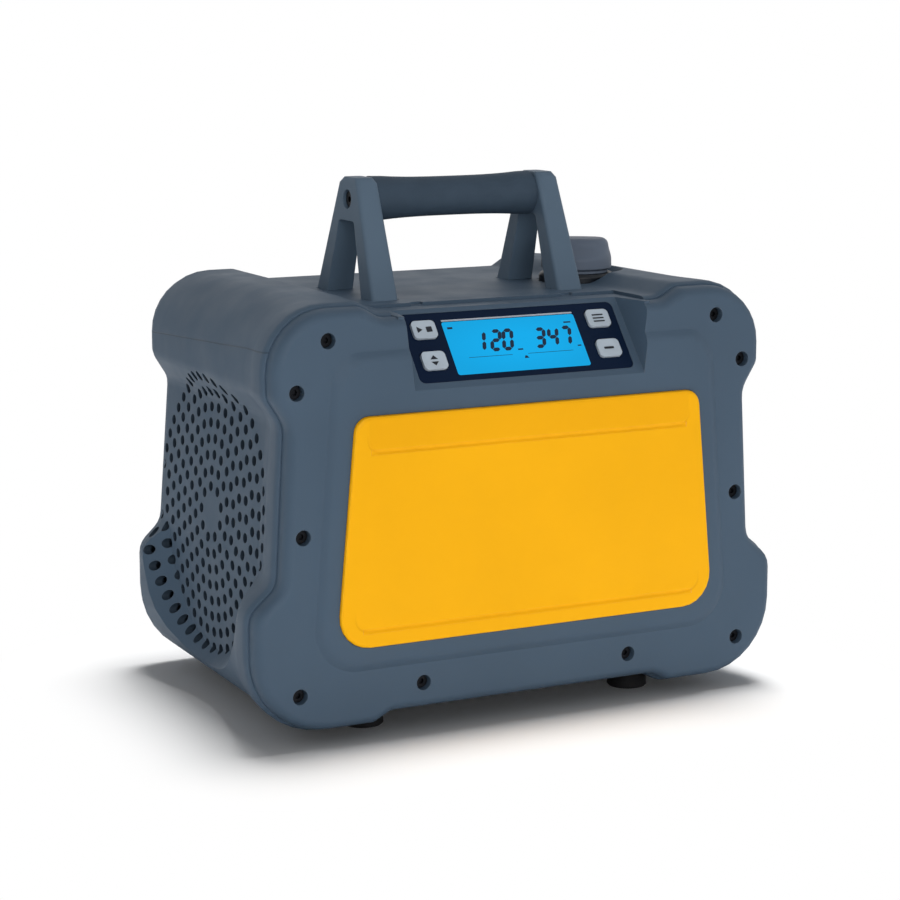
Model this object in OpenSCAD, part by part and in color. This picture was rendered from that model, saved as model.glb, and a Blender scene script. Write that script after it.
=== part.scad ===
// Refrigerant recovery machine: a four-lobed carrying case with a tilted
// display console, a fan on the left side and service ports on the right side.
// Millimetres. X to the right, Y to the back, Z up, origin under the middle
// of the machine on the surface that it stands on.

/* [Case] */
// Width over the lower lobes
body_w = 370; // [350:1:400]
// Depth from the front panel to the rear cover
body_d = 238; // [228:1:260]
// Height of the upper lobes above the floor
body_h = 267; // [258:1:290]
// Height of the flat underside above the floor
foot_h = 13.5; // [11:0.5:18]
// Thickness of the case walls
wall = 4; // [3:0.5:5]
// Radius of the lower lobes
lobe_r_low = 50; // [40:1:56]
// Radius of the upper lobes
lobe_r_up = 40; // [32:1:46]
// Narrowing of the sides just behind the front edge, as a share of the width
flare = 0.032; // [0:0.002:0.05]
// Further narrowing of the sides up to the back, as a share of the width
taper = 0.023; // [0:0.001:0.04]

/* [Covers] */
// Distance from the front rim plane to the joint with the main housing
cover_depth = 12; // [10:0.5:15]
// How far the cover stands back from the outline of the housing
cover_inset = 2.5; // [1.5:0.25:3.5]
// Thickness of the cover's front wall
cover_wall = 3.5; // [3:0.25:4.5]
// Length of the tongue that reaches into the housing
tongue = 5; // [3:0.5:7]
// Clearance around the tongue
tongue_gap = 0.3; // [0.2:0.05:0.6]
// Diameter of the cover screws' counterbores
screw_bore = 9.6; // [9:0.1:12]
// Diameter of the cover screws' heads
screw_head = 8; // [7:0.1:8.6]
// Diameter of the cover screws' shanks
screw_d = 4; // [3:0.1:5]

/* [Front panel] */
// Width of the panel along its top edge
panel_top_w = 239; // [220:1:250]
// Width of the panel along its bottom edge
panel_low_w = 265; // [240:1:275]
// Height of the panel
panel_h = 140.5; // [120:0.5:146]
// Height of the panel's bottom edge above the floor
panel_z = 60; // [56:0.5:66]
// Height by which the panel stands out of its field
panel_proud = 2.5; // [1.5:0.25:4]
// Height of the soft raised field behind the panel
field_h = 3.5; // [2:0.25:5]

/* [Console] */
// Lean of the console, from the vertical
console_tilt = 39; // [34:1:42]
// Width of the dark overlay
overlay_w = 149; // [140:1:154]
// Height of the dark overlay along the slope
overlay_h = 48.5; // [46:0.5:50]
// Width of the display window
window_w = 88; // [70:1:94]
// Height of the display window along the slope
window_h = 35; // [26:0.5:37]
// Width of a key
key_w = 16; // [12:0.5:17]
// Height of a key
key_h = 12.5; // [10:0.5:14]
// Distance from the middle to the keys
key_x = 61; // [59:0.5:62.5]
// Travel of a key
key_travel = 1.2; // [0.6:0.1:1.8]
// Clearance around a key
key_gap = 0.4; // [0.3:0.05:0.8]

/* [Handle] */
// Height of the handle above the floor
handle_h = 333; // [320:1:350]
// Distance between the inner faces of the two brackets
handle_gap_w = 114; // [100:1:118]
// Width of a bracket leg
leg_w = 18; // [14:0.5:20]
// Depth over the two feet of a bracket
handle_base_d = 86; // [76:1:92]
// Radius of the grip in its middle
grip_r = 12.5; // [10:0.25:13.5]
// Radius of the core rod inside the grip
core_r = 6; // [5:0.25:8]

/* [Valve and ports] */
// Radius of the knob's foot
knob_r = 23.5; // [18:0.5:23.5]
// Height of the knob
knob_h = 22.5; // [20:0.5:28]
// Radius of the valve stem
stem_r = 5; // [4:0.25:6]
// Running clearance between the stem and its bores
stem_gap = 0.05; // [0.02:0.01:0.1]
// Outside radius of the flare port's thread
port_r = 5.556; // [5:0.001:8]
// Length of the flare port's thread
port_len = 13; // [10:0.5:15]
// Distance between the two ports
port_pitch = 40; // [34:1:48]

/* [Fan] */
// Diameter of the round holes over the fan
vent_d = 6.4; // [4:0.1:6.6]
// Distance from ring to ring of the holes
vent_pitch = 10.1; // [9.4:0.1:10.4]
// Distance between neighbouring holes of one ring
vent_arc = 11.5; // [10.5:0.1:14]
// Number of rings of holes
vent_rings = 8; // [6:1:8]
// Radius over the fan blades
fan_r = 74; // [62:1:76]
// Depth of the fan frame
fan_depth = 32; // [26:1:34]
// Running clearance around the blades
fan_gap = 2; // [1.5:0.25:4]

/* [Feet] */
// Radius of a rubber foot
foot_r = 13; // [10:0.5:16]
// Distance between the feet across the machine
foot_pitch_x = 192; // [182:1:204]
// Distance between the feet along the machine
foot_pitch_y = 148; // [120:1:165]

/* [Hidden] */

$fn = 48;
eps = 0.01;
case_grey = "#48586a";
dark_grey = "#3c4552";
black = "#1b1c1f";
steel = "#b9bcc0";
brass = "#c8a24a";
copper = "#c07a4c";

// Levels of the case
z_low = foot_h;
z_lobe_low = foot_h - 6;
z_crest = body_h;
z_top = body_h - 7.5;
half_low = body_w / 2;
half_up = half_low - 13;
y_front = -body_d / 2 + field_h + panel_proud;
y_back = body_d / 2;
y_joint_f = y_front + cover_depth;
y_joint_r = y_back - cover_depth;

// Corners of the outline seen from the front: x, z and corner radius
right_side = [
    [93, z_low, 8], [104, z_lobe_low, 10], [half_low, z_lobe_low, lobe_r_low],
    [half_low, z_lobe_low + 78.5, 18], [half_low - 18, z_lobe_low + 93.1, 12],
    [half_low - 23.5, z_crest - 71, 15], [half_up, z_crest - 54, 12],
    [half_up, z_crest, lobe_r_up], [110, z_crest, 12], [97, z_top, 12]
];
left_side = [for (k = [len(right_side) - 1:-1:0]) [-right_side[k].x, right_side[k].y, right_side[k].z]];
outline = concat(right_side, left_side);

// Places of the cover screws: x and z on the right half, and their bosses
screw_spots = [
    [half_up - 37.2, z_crest - 20.6], [half_up - 16.9, z_crest - 50.1], [half_low - 33.1, z_lobe_low + 123],
    [half_low - 30, z_lobe_low + 26.5], [72.8, z_low + 19]
];
seat_y = 7;
boss_r = 7;
boss_len = 26;
rear_spots = [for (k = [0, 1, 3, 4]) screw_spots[k]];
// Point of the wall that carries each boss, in the same order
boss_walls = [
    [half_up - lobe_r_up + (lobe_r_up - wall / 2) * cos(50), z_crest - lobe_r_up + (lobe_r_up - wall / 2) * sin(50)],
    [half_up - wall / 2, z_crest - 48],
    [half_low - 20 - wall / 2, z_lobe_low + 123],
    [half_low - lobe_r_low + (lobe_r_low - wall / 2) * cos(50),
        z_lobe_low + lobe_r_low - (lobe_r_low - wall / 2) * sin(50)],
    [72.8, z_low + wall / 2]
];

// Bend of a cover's edge: depth behind its rim plane and inset
cover_bend = [
    [0, 9], [0.5, 6.9], [1.6, 5.1], [3.3, 3.7], [5.5, 2.85], [8, 2.5]
];
d_back = y_back - y_front;

// Depth of the case as a share of its standard depth: the inner layout follows it
deep = d_back / 232;

// Console: lower edge of the slope, hood around it and layers behind it
console_y = y_front - 1.5;
console_z = panel_z + panel_h + 15.5;
slope_len = 52.5;
hood_half = 87.5;
hood_gap = 0.5;
hood_top = z_top - 2;
hood_back = y_front + 47.5;
console_wall = 4.5;
overlay_t = 1.5;
overlay_drop = 0.3;
window_v = 7;
module_front = -console_wall;
board_w = -14;
key_low_v = 16.3;
key_top_v = 38.2;

// Axis of the fan and the innermost ring of holes around it
fan_y = y_front + 131 * deep;
fan_z = z_lobe_low + 115;
vent_r0 = 16.5 * deep;
vent_step = vent_pitch * deep;
blade_r = fan_r * deep;

// Share of the width by which the two corners of the waist stand in behind the front edge
waist_in = [flare + taper * 0.55, flare + taper * 1.15];

// Round dish in the lower lobe that keeps the field of holes flat
dish_x = waist(fan_y - y_front, z_lobe_low + 93.1);
dish_y = fan_y - 6;
dish_z = fan_z - 10;
dish_r = vent_r0 + (vent_rings - 1) * vent_step - 10;

// Handle brackets and the places of their feet
leg_x = handle_gap_w / 2 + leg_w / 2;
handle_y = y_front + 107 * deep;
leg_foot_d = 17.5;
pocket = 1.2;
pad_t = 6;
foot_spots = [for (s = [-1, 1]) handle_y + s * (handle_base_d / 2 - leg_foot_d / 2)];

// Valve knob and the two ports below it
knob_x = leg_x + leg_w / 2 + knob_r - 0.5;
knob_y = y_front + 113 * deep;
knob_seat_z = z_top - 0.4;
knob_seat_r = knob_r + 2.6;
port_y = [for (s = [-1, 1]) knob_y + s * port_pitch / 2];
port_z = z_crest - 84;
port_d = port_y[0] - y_front;
port_face = waist(port_d, port_z) + 2.5;
exhaust_y = [for (k = [0:8]) knob_y - 60 + k * 15];

// Seat of the front panel
field_margin = 10;
panel_sink = 1.5;
panel_gap = 0.2;

// Key switches
switch_top = -10.3;
key_play = 0.3;

// Apex of the brackets and the grip's axis
bracket_screw_d = 5;
bracket_bite = 9;
apex_low = handle_h - 27;
apex_d = 28;
apex_w = leg_w - 3.2;
apex_seat = handle_gap_w / 2 + leg_w - 7.5;
window_top = 22;
window_foot = handle_base_d - 2 * leg_foot_d + 6;
grip_z = handle_h - grip_r - 1.2;

// Dial ring, valve stem and manifold
ring_h = 6;
stem_low = port_z + 8;
block_half = [22, port_pitch / 2 + 12];
block_z0 = port_z - 20;
block_z1 = port_z + 20;
block_x1 = knob_x + block_half.x;
port_neck_r = 6.5;
tube_r = 4;
tube_gap = 0.05;
tube_in = 7;
tube_bend = 6;

// Compressor and motor on the floor of the housing
floor_z = z_low + wall;
drive_x = knob_x - 76;
drive_z = floor_z + 80;
plate_t = 2;
mount_h = 11;
plate_half = 56 * deep;
mount_spots = [for (x = [drive_x - 42, drive_x + 42]) for (s = [-1, 1]) [x, knob_y + s * 45 * deep]];
deck_z = floor_z + plate_t + mount_h;
deck_t = 5;
case_y = [knob_y - 72 * deep, knob_y - 2 * deep];
head_y = knob_y - 38 * deep;
motor_len = 74 * deep;

// Fan and condenser
fan_x0 = -waist(fan_y - y_front + blade_r, z_crest - 71) + wall + 4;
fan_x1 = fan_x0 + fan_depth;
hub_r = 27;
frame_half = blade_r + fan_gap + 4;
coil_x0 = fan_x1;
coil_t = 20;
coil_half = frame_half - 4;
fins = 18;
coil_rows = 6;
coil_pitch = 2 * coil_half / coil_rows;
coil_mid = coil_x0 + coil_t / 2;
coil_end = fan_y - coil_half - 2;

// Tube ends on the cylinder heads
head_top = drive_z + 34;
left_head = drive_x - 76;
right_head = drive_x + 76;

// Power board
board_half = 62;
board_x = drive_x - 30;
board_z = floor_z + 30;
board_h = 96;
board_y = y_back - 22;

// Power entry on the rear cover
rear_x = 98;
inlet_w = 28;
inlet_h = 21;
bay_depth = 7;
bay_half = 30;
y_bay = y_back - bay_depth;
inlet_z = z_lobe_low + 56;
switch_w = 21;
switch_h = 28;
switch_z = z_lobe_low + 104;
breaker_r = 7;
breaker_z = z_lobe_low + 146;
rocker_half = [switch_w / 2 - 3, switch_h / 2 - 3];
foot_screw_d = 4;

function unit2(v) = v / norm(v);
function xy(p) = [p.x, p.y];
function at_index(list, k) = list[(k + len(list)) % len(list)];

// Outline moved inwards by one distance, with its corner radii kept concentric
function shrink(path, by) = [
    for (k = [0:len(path) - 1])
        let (
            p = path[k],
            d1 = unit2(xy(p) - xy(at_index(path, k - 1))),
            d2 = unit2(xy(at_index(path, k + 1)) - xy(p)),
            n1 = [-d1.y, d1.x],
            n2 = [-d2.y, d2.x],
            q = xy(p) + by * (n1 + n2) / (1 + n1 * n2),
            turn = d1.x * d2.y - d1.y * d2.x
        )
        [q.x, q.y, max(0.6, p.z + (turn > 0 ? -by : by))]
];

// Points of one rounded corner
function corner(a, p, b, r, steps) =
    let (
        u = unit2(a - p),
        v = unit2(b - p),
        half = acos(max(-1, min(1, u * v))) / 2,
        c = p + unit2(u + v) * r / sin(half),
        s = p + u * r / tan(half) - c,
        e = p + v * r / tan(half) - c,
        a0 = atan2(s.y, s.x),
        sweep = (atan2(e.y, e.x) - a0 + 900) % 360 - 180
    )
    [for (k = [0:steps]) c + r * [cos(a0 + sweep * k / steps), sin(a0 + sweep * k / steps)]];

// Closed path with every corner rounded by its own radius
function rounded(path, fine = 1) = [
    for (k = [0:len(path) - 1])
        each corner(
            xy(at_index(path, k - 1)), xy(path[k]), xy(at_index(path, k + 1)), path[k].z,
            path[k].z > 25 ? 8 * fine : 3 * fine
        )
];

// Width factor at a distance behind the front rim plane
function ease(t) = let (c = max(0, min(1, t))) c * c * (3 - 2 * c);
function narrow(d) = 1 - flare * ease((d - 17) / 36) - taper * max(0, min(1, (d - 50) / 176));

// Outline at a distance behind the front rim plane: the two corners of the waist run straight to the back
function corner_no(k) = min(k, len(outline) - 1 - k);
function narrow_at(k, d) =
    k == 4 || k == 5 ? 1 - waist_in[k - 4] * ease((d - 17) / 36) : narrow(d);
function outline_at(d) = [
    for (k = [0:len(outline) - 1]) [outline[k].x * narrow_at(corner_no(k), d), outline[k].y, outline[k].z]
];

// Ring of points of the case: distance behind the front rim plane and inset
function ring(d, inset) = [
    for (p = rounded(shrink(outline_at(d), inset))) [p.x, y_front + d, p.y]
];

// Half width of the housing's outside at a depth and a height between the lobes
function waist(d, z) = let (
    low = right_side[4],
    top = right_side[5],
    t = (z - low.y) / (top.y - low.y)
) low.x * narrow_at(4, d) * (1 - t) + top.x * narrow_at(5, d) * t;

// Solid through a row of rings, or a closed tube when the row ends where it began
module loft(rings, tube = false) {
    n = len(rings[0]);
    m = len(rings);
    last = tube ? m - 1 : m - 2;
    sides = [
        for (j = [0:last]) for (k = [0:n - 1])
            let (a = j * n + k, b = j * n + (k + 1) % n, j2 = (j + 1) % m)
            each [[a, b, j2 * n + (k + 1) % n], [a, j2 * n + (k + 1) % n, j2 * n + k]]
    ];
    caps = tube ? [] : [
        for (k = [0:n - 1])
            let (b = (k + 1) % n)
            each [[b, k, m * n], [(m - 1) * n + k, (m - 1) * n + b, m * n + 1]]
    ];
    mids = tube ? [] : [ring_middle(rings[0]), ring_middle(rings[m - 1])];
    polyhedron(points = concat([for (r = rings) each r], mids), faces = concat(sides, caps));
}

// Middle of an end ring, from where all its points can be seen
function ring_middle(r) = [for (p = r) 1] * r / len(r);

// Upright flat shape given in x and z, made thick from one depth to another
module slab(y0, y1) {
    translate([0, y1, 0]) rotate([90, 0, 0]) linear_extrude(y1 - y0) children();
}

// Side shape given in y and z, made thick from one x to another
module across(x0, x1) {
    translate([x0, 0, 0]) rotate([90, 0, 90]) linear_extrude(x1 - x0) children();
}

// Round bar along Y or along X
module bar_y(x, z, y0, y1, r) {
    translate([x, y0, z]) rotate([-90, 0, 0]) cylinder(r = r, h = y1 - y0);
}
module bar_x(y, z, x0, x1, r) {
    translate([x0, y, z]) rotate([0, 90, 0]) cylinder(r = r, h = x1 - x0);
}

// Box from its two far corners
module box(a, b) {
    translate(a) cube(b - a);
}

// Rounded rectangle around the middle
module pad2(w, h, r) {
    polygon(rounded([[-w / 2, -h / 2, r], [w / 2, -h / 2, r], [w / 2, h / 2, r], [-w / 2, h / 2, r]], 2));
}

// Trapezoid with rounded corners, given by its two widths and heights
module trapezoid(low_w, top_w, z0, z1, r_low, r_top) {
    polygon(rounded([
        [-low_w / 2, z0, r_low], [low_w / 2, z0, r_low], [top_w / 2, z1, r_top], [-top_w / 2, z1, r_top]
    ], 2));
}

// Cover, seen from the front: a dished plate with a rounded edge and a tongue
function cover_rings(depth_of) = concat(
    [for (c = cover_bend) ring(depth_of(c.x), c.y - 2.5 + cover_inset)],
    [ring(depth_of(cover_depth), cover_inset)],
    [ring(depth_of(cover_depth), wall + tongue_gap)],
    [ring(depth_of(cover_depth + tongue), wall + tongue_gap)]
);
to_front = function (d) d;
to_back = function (d) d_back - d;

module case_sleeve() {
    d0 = cover_depth;
    d1 = d_back - cover_depth;
    outside = [
        [d0, 1.5], [d0 + 1, 0.6], [d0 + 2.8, 0.1], [d0 + 5, 0], [d0 + 13, 0], [d0 + 21, 0], [d0 + 29, 0],
        [d0 + 41, 0], [d1 - 4, 0], [d1 - 2.2, 0.3], [d1 - 0.8, 1.1], [d1, 2.4]
    ];
    inside = [[d1, wall], [d0 + 41, wall], [d0 + 25, wall], [d0 + 13, wall], [d0 + 5, wall], [d0, wall]];
    loft([for (s = concat(outside, inside)) ring(s.x, s.y)], true);
}

// Cone that opens outwards from the floor of the dish around the fan's holes
module dish(x, r) {
    translate([-x, dish_y, dish_z]) rotate([0, -90, 0]) cylinder(r1 = r, r2 = r + 30, h = 30);
}

// Walls behind the dish and around the knob's seat, kept inside the outline of the case
module inner_walls() {
    intersection() {
        union() {
            dish(dish_x - wall, dish_r + 0.42 * wall);
            translate([knob_x, knob_y, z_top - wall]) cylinder(r = knob_seat_r + 9, h = wall + z_crest - z_top);
        }
        loft([ring(24, 1), ring(53, 1), ring(d_back - 6, 1)]);
    }
}

// Console frame of reference: origin on the lower edge, z out of the slope
module on_console() {
    translate([0, console_y, console_z]) rotate([90 - console_tilt, 0, 0]) children();
}
function on_slope(v, w) = [
    console_y + v * sin(console_tilt) - w * cos(console_tilt),
    console_z + v * cos(console_tilt) + w * sin(console_tilt)
];

// Wedge that the console's notch removes from the cover
module notch() {
    a = on_slope(-9, 0);
    b = on_slope(66, 0);
    p = [
        [-80, a[0], a[1]], [80, a[0], a[1]], [78.5, b[0], b[1]], [-78.5, b[0], b[1]],
        [-88, a[0] - 8, b[1]], [88, a[0] - 8, b[1]], [-81, a[0] - 8, a[1]], [81, a[0] - 8, a[1]]
    ];
    hull() for (q = p) translate(q) cube(eps, center = true);
}

module hood_block() {
    box([-hood_half, y_front + cover_wall, console_z - 12], [hood_half, hood_back, hood_top]);
}
module hood_hollow() {
    y0 = y_front + cover_wall;
    a = on_slope((y0 - on_slope(0, -console_wall)[0]) / sin(console_tilt), -console_wall);
    b = on_slope((hood_top - 3 - on_slope(0, -console_wall)[1]) / cos(console_tilt), -console_wall);
    z0 = console_z - 20;
    across(-hood_half + 3.5, hood_half - 3.5)
        polygon([[y0, z0], a, b, [hood_back + 40, b[1]], [hood_back + 40, z0]]);
}

// Places in the console where the keys sit: x and distance up the slope
module at_key(side, v) {
    on_console() translate([side * key_x, v, 0]) children();
}

module key_outline(grow) {
    w = key_w / 2 + grow;
    h = key_h / 2 + grow;
    polygon(rounded([[-w, -h, 3], [w, -h, 3], [w, h, 3], [-w, h, 3]], 2));
}

// Field of round holes in rings around the fan's axis
module vent_holes(x0, x1) {
    for (k = [0:vent_rings - 1]) {
        r = vent_r0 + k * vent_step;
        n = round(2 * PI * r / vent_arc);
        for (j = [0:n - 1])
            bar_x(fan_y + r * cos(360 * (j + 0.5 * (k % 2)) / n), fan_z + r * sin(360 * (j + 0.5 * (k % 2)) / n),
                x0, x1, vent_d / 2);
    }
}

module main_housing() {
    color(case_grey) difference() {
        union() {
            case_sleeve();
            inner_walls();
            cover_bosses(to_front, 1);
            cover_bosses(to_back, -1);
            for (s = [-1, 1]) for (y = foot_spots)
                box([s * leg_x - leg_w / 2 - 4, y - leg_foot_d / 2 - 4, z_top - pad_t],
                    [s * leg_x + leg_w / 2 + 4, y + leg_foot_d / 2 + 4, z_top - wall / 2]);
            translate([knob_x, knob_y, z_top - 9]) cylinder(r = 11, h = 9 - wall / 2);
            for (y = port_y) bar_x(y, port_z, port_face - 9, port_face, 15);
            for (sx = [-1, 1]) for (sy = [-1, 1]) foot_seat(sx * foot_pitch_x / 2, sy * foot_pitch_y / 2);
        }
        box([-hood_half - hood_gap, y_front, hood_top - 20],
            [hood_half + hood_gap, hood_back + hood_gap, z_crest + 5]);
        for (s = [-1, 1]) {
            box([s * 53 - 4, hood_back, z_top - 1.6], [s * 53 + 4, hood_back + 4, z_top + 5]);
            for (y = foot_spots) {
                box([s * leg_x - leg_w / 2 - 0.3, y - leg_foot_d / 2 - 0.3, z_top - pocket],
                    [s * leg_x + leg_w / 2 + 0.3, y + leg_foot_d / 2 + 0.3, z_top + 5]);
                translate([s * leg_x, y, z_top - 20]) cylinder(d = bracket_screw_d + 0.5, h = 30);
            }
        }
        translate([knob_x, knob_y, z_top - 20]) cylinder(r = stem_r + stem_gap, h = 40);
        translate([knob_x, knob_y, knob_seat_z]) cylinder(r1 = knob_seat_r, r2 = knob_seat_r + 6, h = 9);
        for (y = port_y) bar_x(y, port_z, port_face - 30, port_face + 10, port_neck_r + 0.1);
        for (side = [-1, 1]) for (p = screw_spots)
            bar_y(side * p.x, p.y, y_joint_f - 1, y_joint_f + boss_len - 4, screw_d / 2);
        for (side = [-1, 1]) for (p = rear_spots)
            bar_y(side * p.x * narrow(d_back), p.y, y_joint_r - boss_len + 4, y_joint_r + 1, screw_d / 2);
        for (sx = [-1, 1]) for (sy = [-1, 1])
            translate([sx * foot_pitch_x / 2, sy * foot_pitch_y / 2, 0]) {
                translate([0, 0, z_low - 1]) cylinder(d = foot_screw_d, h = wall + 7);
                translate([0, 0, -1]) cylinder(r = foot_r + 0.6, h = z_low + 1);
            }
        dish(dish_x, dish_r);
        vent_holes(-half_low - 5, -half_low + 45);
        for (y = exhaust_y)
            box([half_low - 45, y - 2.5, z_lobe_low + 98], [half_low + 5, y + 2.5, z_lobe_low + 143]);
    }
}

// Round seat of a foot: a boss that stays inside the outline, with its screw post
module foot_seat(x, y) {
    s = narrow(y - y_front);
    intersection() {
        translate([x, y, 0]) cylinder(r = foot_r + 3.5, h = z_low + wall);
        slab(y - foot_r - 5, y + foot_r + 5) polygon([for (p = rounded(shrink(outline, 0.8))) [p.x * s, p.y]]);
    }
    translate([x, y, z_low]) cylinder(r = 6.5, h = wall + 8);
}

// Screw bosses along the inside of one mouth of the housing, each with its rib
module cover_bosses(depth_of, way) {
    d0 = depth_of(cover_depth);
    s = narrow(depth_of(0));
    y0 = y_front + d0;
    y1 = y_front + depth_of(cover_depth + boss_len);
    rib0 = y_front + depth_of(cover_depth + tongue + 3);
    thin = min(narrow(d0), narrow(depth_of(cover_depth + boss_len)));
    for (side = [-1, 1]) for (k = way > 0 ? [0:4] : [0, 1, 3, 4]) {
        p = screw_spots[k];
        x = side * p.x * s;
        bar_y(x, p.y, min(y0, y1), max(y0, y1), boss_r - 0.5);
        tip = [side * boss_walls[k].x * thin - x, boss_walls[k].y - p.y];
        slab(min(rib0, y1), max(rib0, y1))
            translate([x, p.y]) rotate(atan2(tip.y, tip.x)) translate([0, -1.5])
                square([norm(tip), 3]);
    }
}

module cover_body(depth_of) {
    flip = depth_of(1) > depth_of(0);
    rows = cover_rings(depth_of);
    loft(flip ? rows : [for (k = [len(rows) - 1:-1:0]) rows[k]]);
}

module cover_hollow(depth_of) {
    ya = y_front + depth_of(cover_wall);
    yb = y_front + depth_of(cover_depth + tongue + 1);
    s = narrow(depth_of(0));
    slab(min(ya, yb), max(ya, yb))
        polygon([for (p = rounded(shrink(outline, wall + tongue_gap + 2.2))) [p.x * s, p.y]]);
}

module screw_towers(depth_of, spots) {
    s = narrow(depth_of(0));
    ya = y_front + depth_of(1.5);
    yb = y_front + depth_of(cover_depth);
    for (side = [-1, 1]) for (p = spots)
        bar_y(side * p.x * s, p.y, min(ya, yb), max(ya, yb), boss_r);
}

module screw_bores(depth_of, spots) {
    s = narrow(depth_of(0));
    for (side = [-1, 1]) for (p = spots) {
        ya = y_front + depth_of(-6);
        yb = y_front + depth_of(seat_y);
        bar_y(side * p.x * s, p.y, min(ya, yb), max(ya, yb), screw_bore / 2);
        yc = y_front + depth_of(cover_depth + 2);
        bar_y(side * p.x * s, p.y, min(yb, yc), max(yb, yc), screw_d / 2 + 0.25);
    }
}

// Soft raised field that carries the front panel
module front_field() {
    low_w = panel_low_w + 2 * field_margin;
    top_w = panel_top_w + 2 * field_margin - 5;
    z0 = panel_z - 13;
    z1 = panel_z + panel_h + 35;
    hull() {
        slab(y_front, y_front + 1) trapezoid(low_w + 9, top_w + 9, z0 - 2, z1 + 3, 28, 18);
        slab(y_front - field_h * 0.6, y_front) trapezoid(low_w + 3, top_w + 3, z0 + 1, z1, 26, 16);
        slab(y_front - field_h, y_front) trapezoid(low_w - 4, top_w - 4, z0 + 4.5, z1 - 3.5, 24, 14);
    }
}

module front_cover() {
    color(case_grey) difference() {
        union() {
            difference() {
                union() {
                    cover_body(to_front);
                    front_field();
                }
                difference() {
                    cover_hollow(to_front);
                    hood_block();
                }
            }
            screw_towers(to_front, screw_spots);
            hood_block();
        }
        notch();
        hood_hollow();
        screw_bores(to_front, screw_spots);
        slab(y_front - field_h - 5, y_front - field_h + panel_sink)
            trapezoid(panel_low_w + 2 * panel_gap, panel_top_w + 2 * panel_gap,
                panel_z - panel_gap, panel_z + panel_h + panel_gap, 20, 10);
        on_console() {
            translate([0, slope_len / 2 - 0.5, -overlay_t - overlay_drop]) linear_extrude(20)
                pad2(overlay_w + 0.4, overlay_h + 0.4, 4);
            translate([0, window_v + window_h / 2, -console_wall - 5]) linear_extrude(20)
                pad2(window_w + 4.4, window_h + 4.4, 2);
        }
        for (side = [-1, 1]) for (v = [key_low_v, key_top_v])
            at_key(side, v) translate([0, 0, -20]) linear_extrude(30) key_outline(key_gap);
    }
}

module rear_cover() {
    color(case_grey) {
        difference() {
            union() {
                difference() {
                    cover_body(to_back);
                    cover_hollow(to_back);
                }
                screw_towers(to_back, rear_spots);
                for (sx = [-1, 1]) for (z = [board_z + 8, board_z + board_h - 8])
                    bar_y(board_x + sx * (board_half - 8), z, board_y + 1.6, y_back - cover_wall / 2, 4);
            }
            screw_bores(to_back, rear_spots);
            slab(y_back - cover_wall - 1, y_back + 1) bay_outline(1.5);
        }
        power_bay();
    }
}

// Recess of the rear cover that holds the power entry
module bay_outline(grow) {
    translate([rear_x, (inlet_z + breaker_z) / 2 - 2])
        pad2(2 * (bay_half + grow), breaker_z - inlet_z + 42 + 2 * grow, 8 + grow);
}
module power_bay() {
    difference() {
        union() {
            slab(y_bay - cover_wall, y_back - cover_wall) bay_outline(cover_wall);
            slab(y_bay - cover_wall, y_back) bay_outline(1.5);
        }
        slab(y_bay, y_back + 1) bay_outline(0);
        slab(y_bay - 20, y_back) translate([rear_x, inlet_z])
            square([inlet_w + 0.4, inlet_h + 0.4], center = true);
        slab(y_bay - 20, y_back) translate([rear_x, switch_z])
            square([switch_w + 0.4, switch_h + 0.4], center = true);
        bar_y(rear_x, breaker_z, y_bay - 20, y_back, breaker_r + 0.1);
    }
}

// Yellow panel with its two long creases
module front_panel() {
    y0 = y_front - field_h - panel_proud;
    y1 = y_front - field_h + panel_sink;
    color("#fdb515") difference() {
        hull() {
            slab(y0, y0 + 0.5) trapezoid(panel_low_w - 4, panel_top_w - 4, panel_z + 2, panel_z + panel_h - 2, 18, 8);
            slab(y0 + 0.7, y0 + 1) trapezoid(panel_low_w - 1, panel_top_w - 1, panel_z + 0.5, panel_z + panel_h - 0.5, 20, 9.6);
            slab(y0 + 1.7, y1) trapezoid(panel_low_w, panel_top_w, panel_z, panel_z + panel_h, 20, 10);
        }
        for (c = [[panel_h - 21.5, panel_top_w / 2 - 9.5], [10.5, panel_low_w / 2 - 16.5]])
            bar_x(y0 - 2.1, panel_z + c.x, -c.y, c.y, 2.7);
    }
}

module cover_screw_set(depth_of, spots) {
    s = narrow(depth_of(0));
    for (side = [-1, 1]) for (p = spots) {
        ya = y_front + depth_of(seat_y - 3);
        yb = y_front + depth_of(seat_y);
        yc = y_front + depth_of(cover_depth + 20);
        difference() {
            union() {
                bar_y(side * p.x * s, p.y, min(ya, yb), max(ya, yb), screw_head / 2);
                bar_y(side * p.x * s, p.y, min(yb, yc), max(yb, yc), screw_d / 2 - 0.02);
            }
            slab(min(ya, ya + (yb - ya) * 0.6) - eps, max(ya, ya + (yb - ya) * 0.6) + eps)
                translate([side * p.x * s, p.y]) circle(r = 2, $fn = 6);
        }
    }
}
module front_screws() {
    color(black) cover_screw_set(to_front, screw_spots);
}
module rear_screws() {
    color(black) cover_screw_set(to_back, rear_spots);
}

module console_overlay() {
    color("#1b2340") on_console() difference() {
        translate([0, slope_len / 2 - 0.5, -overlay_t - overlay_drop]) linear_extrude(overlay_t)
            pad2(overlay_w, overlay_h, 4);
        translate([0, window_v + window_h / 2, -10]) linear_extrude(20) pad2(window_w, window_h, 2);
        for (side = [-1, 1]) for (v = [key_low_v, key_top_v])
            translate([side * key_x, v, -10]) linear_extrude(20) key_outline(key_gap);
    }
}

module display_window() {
    color([0.6, 0.8, 0.95, 0.4]) on_console()
        translate([0, window_v + window_h / 2, module_front]) linear_extrude(1.4)
            pad2(window_w + 4, window_h + 4, 2);
}

module display_module() {
    color("#00aeef") on_console()
        translate([0, window_v + window_h / 2, board_w]) linear_extrude(module_front - board_w)
            pad2(window_w + 9, window_h + 8, 1.5);
}

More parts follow.
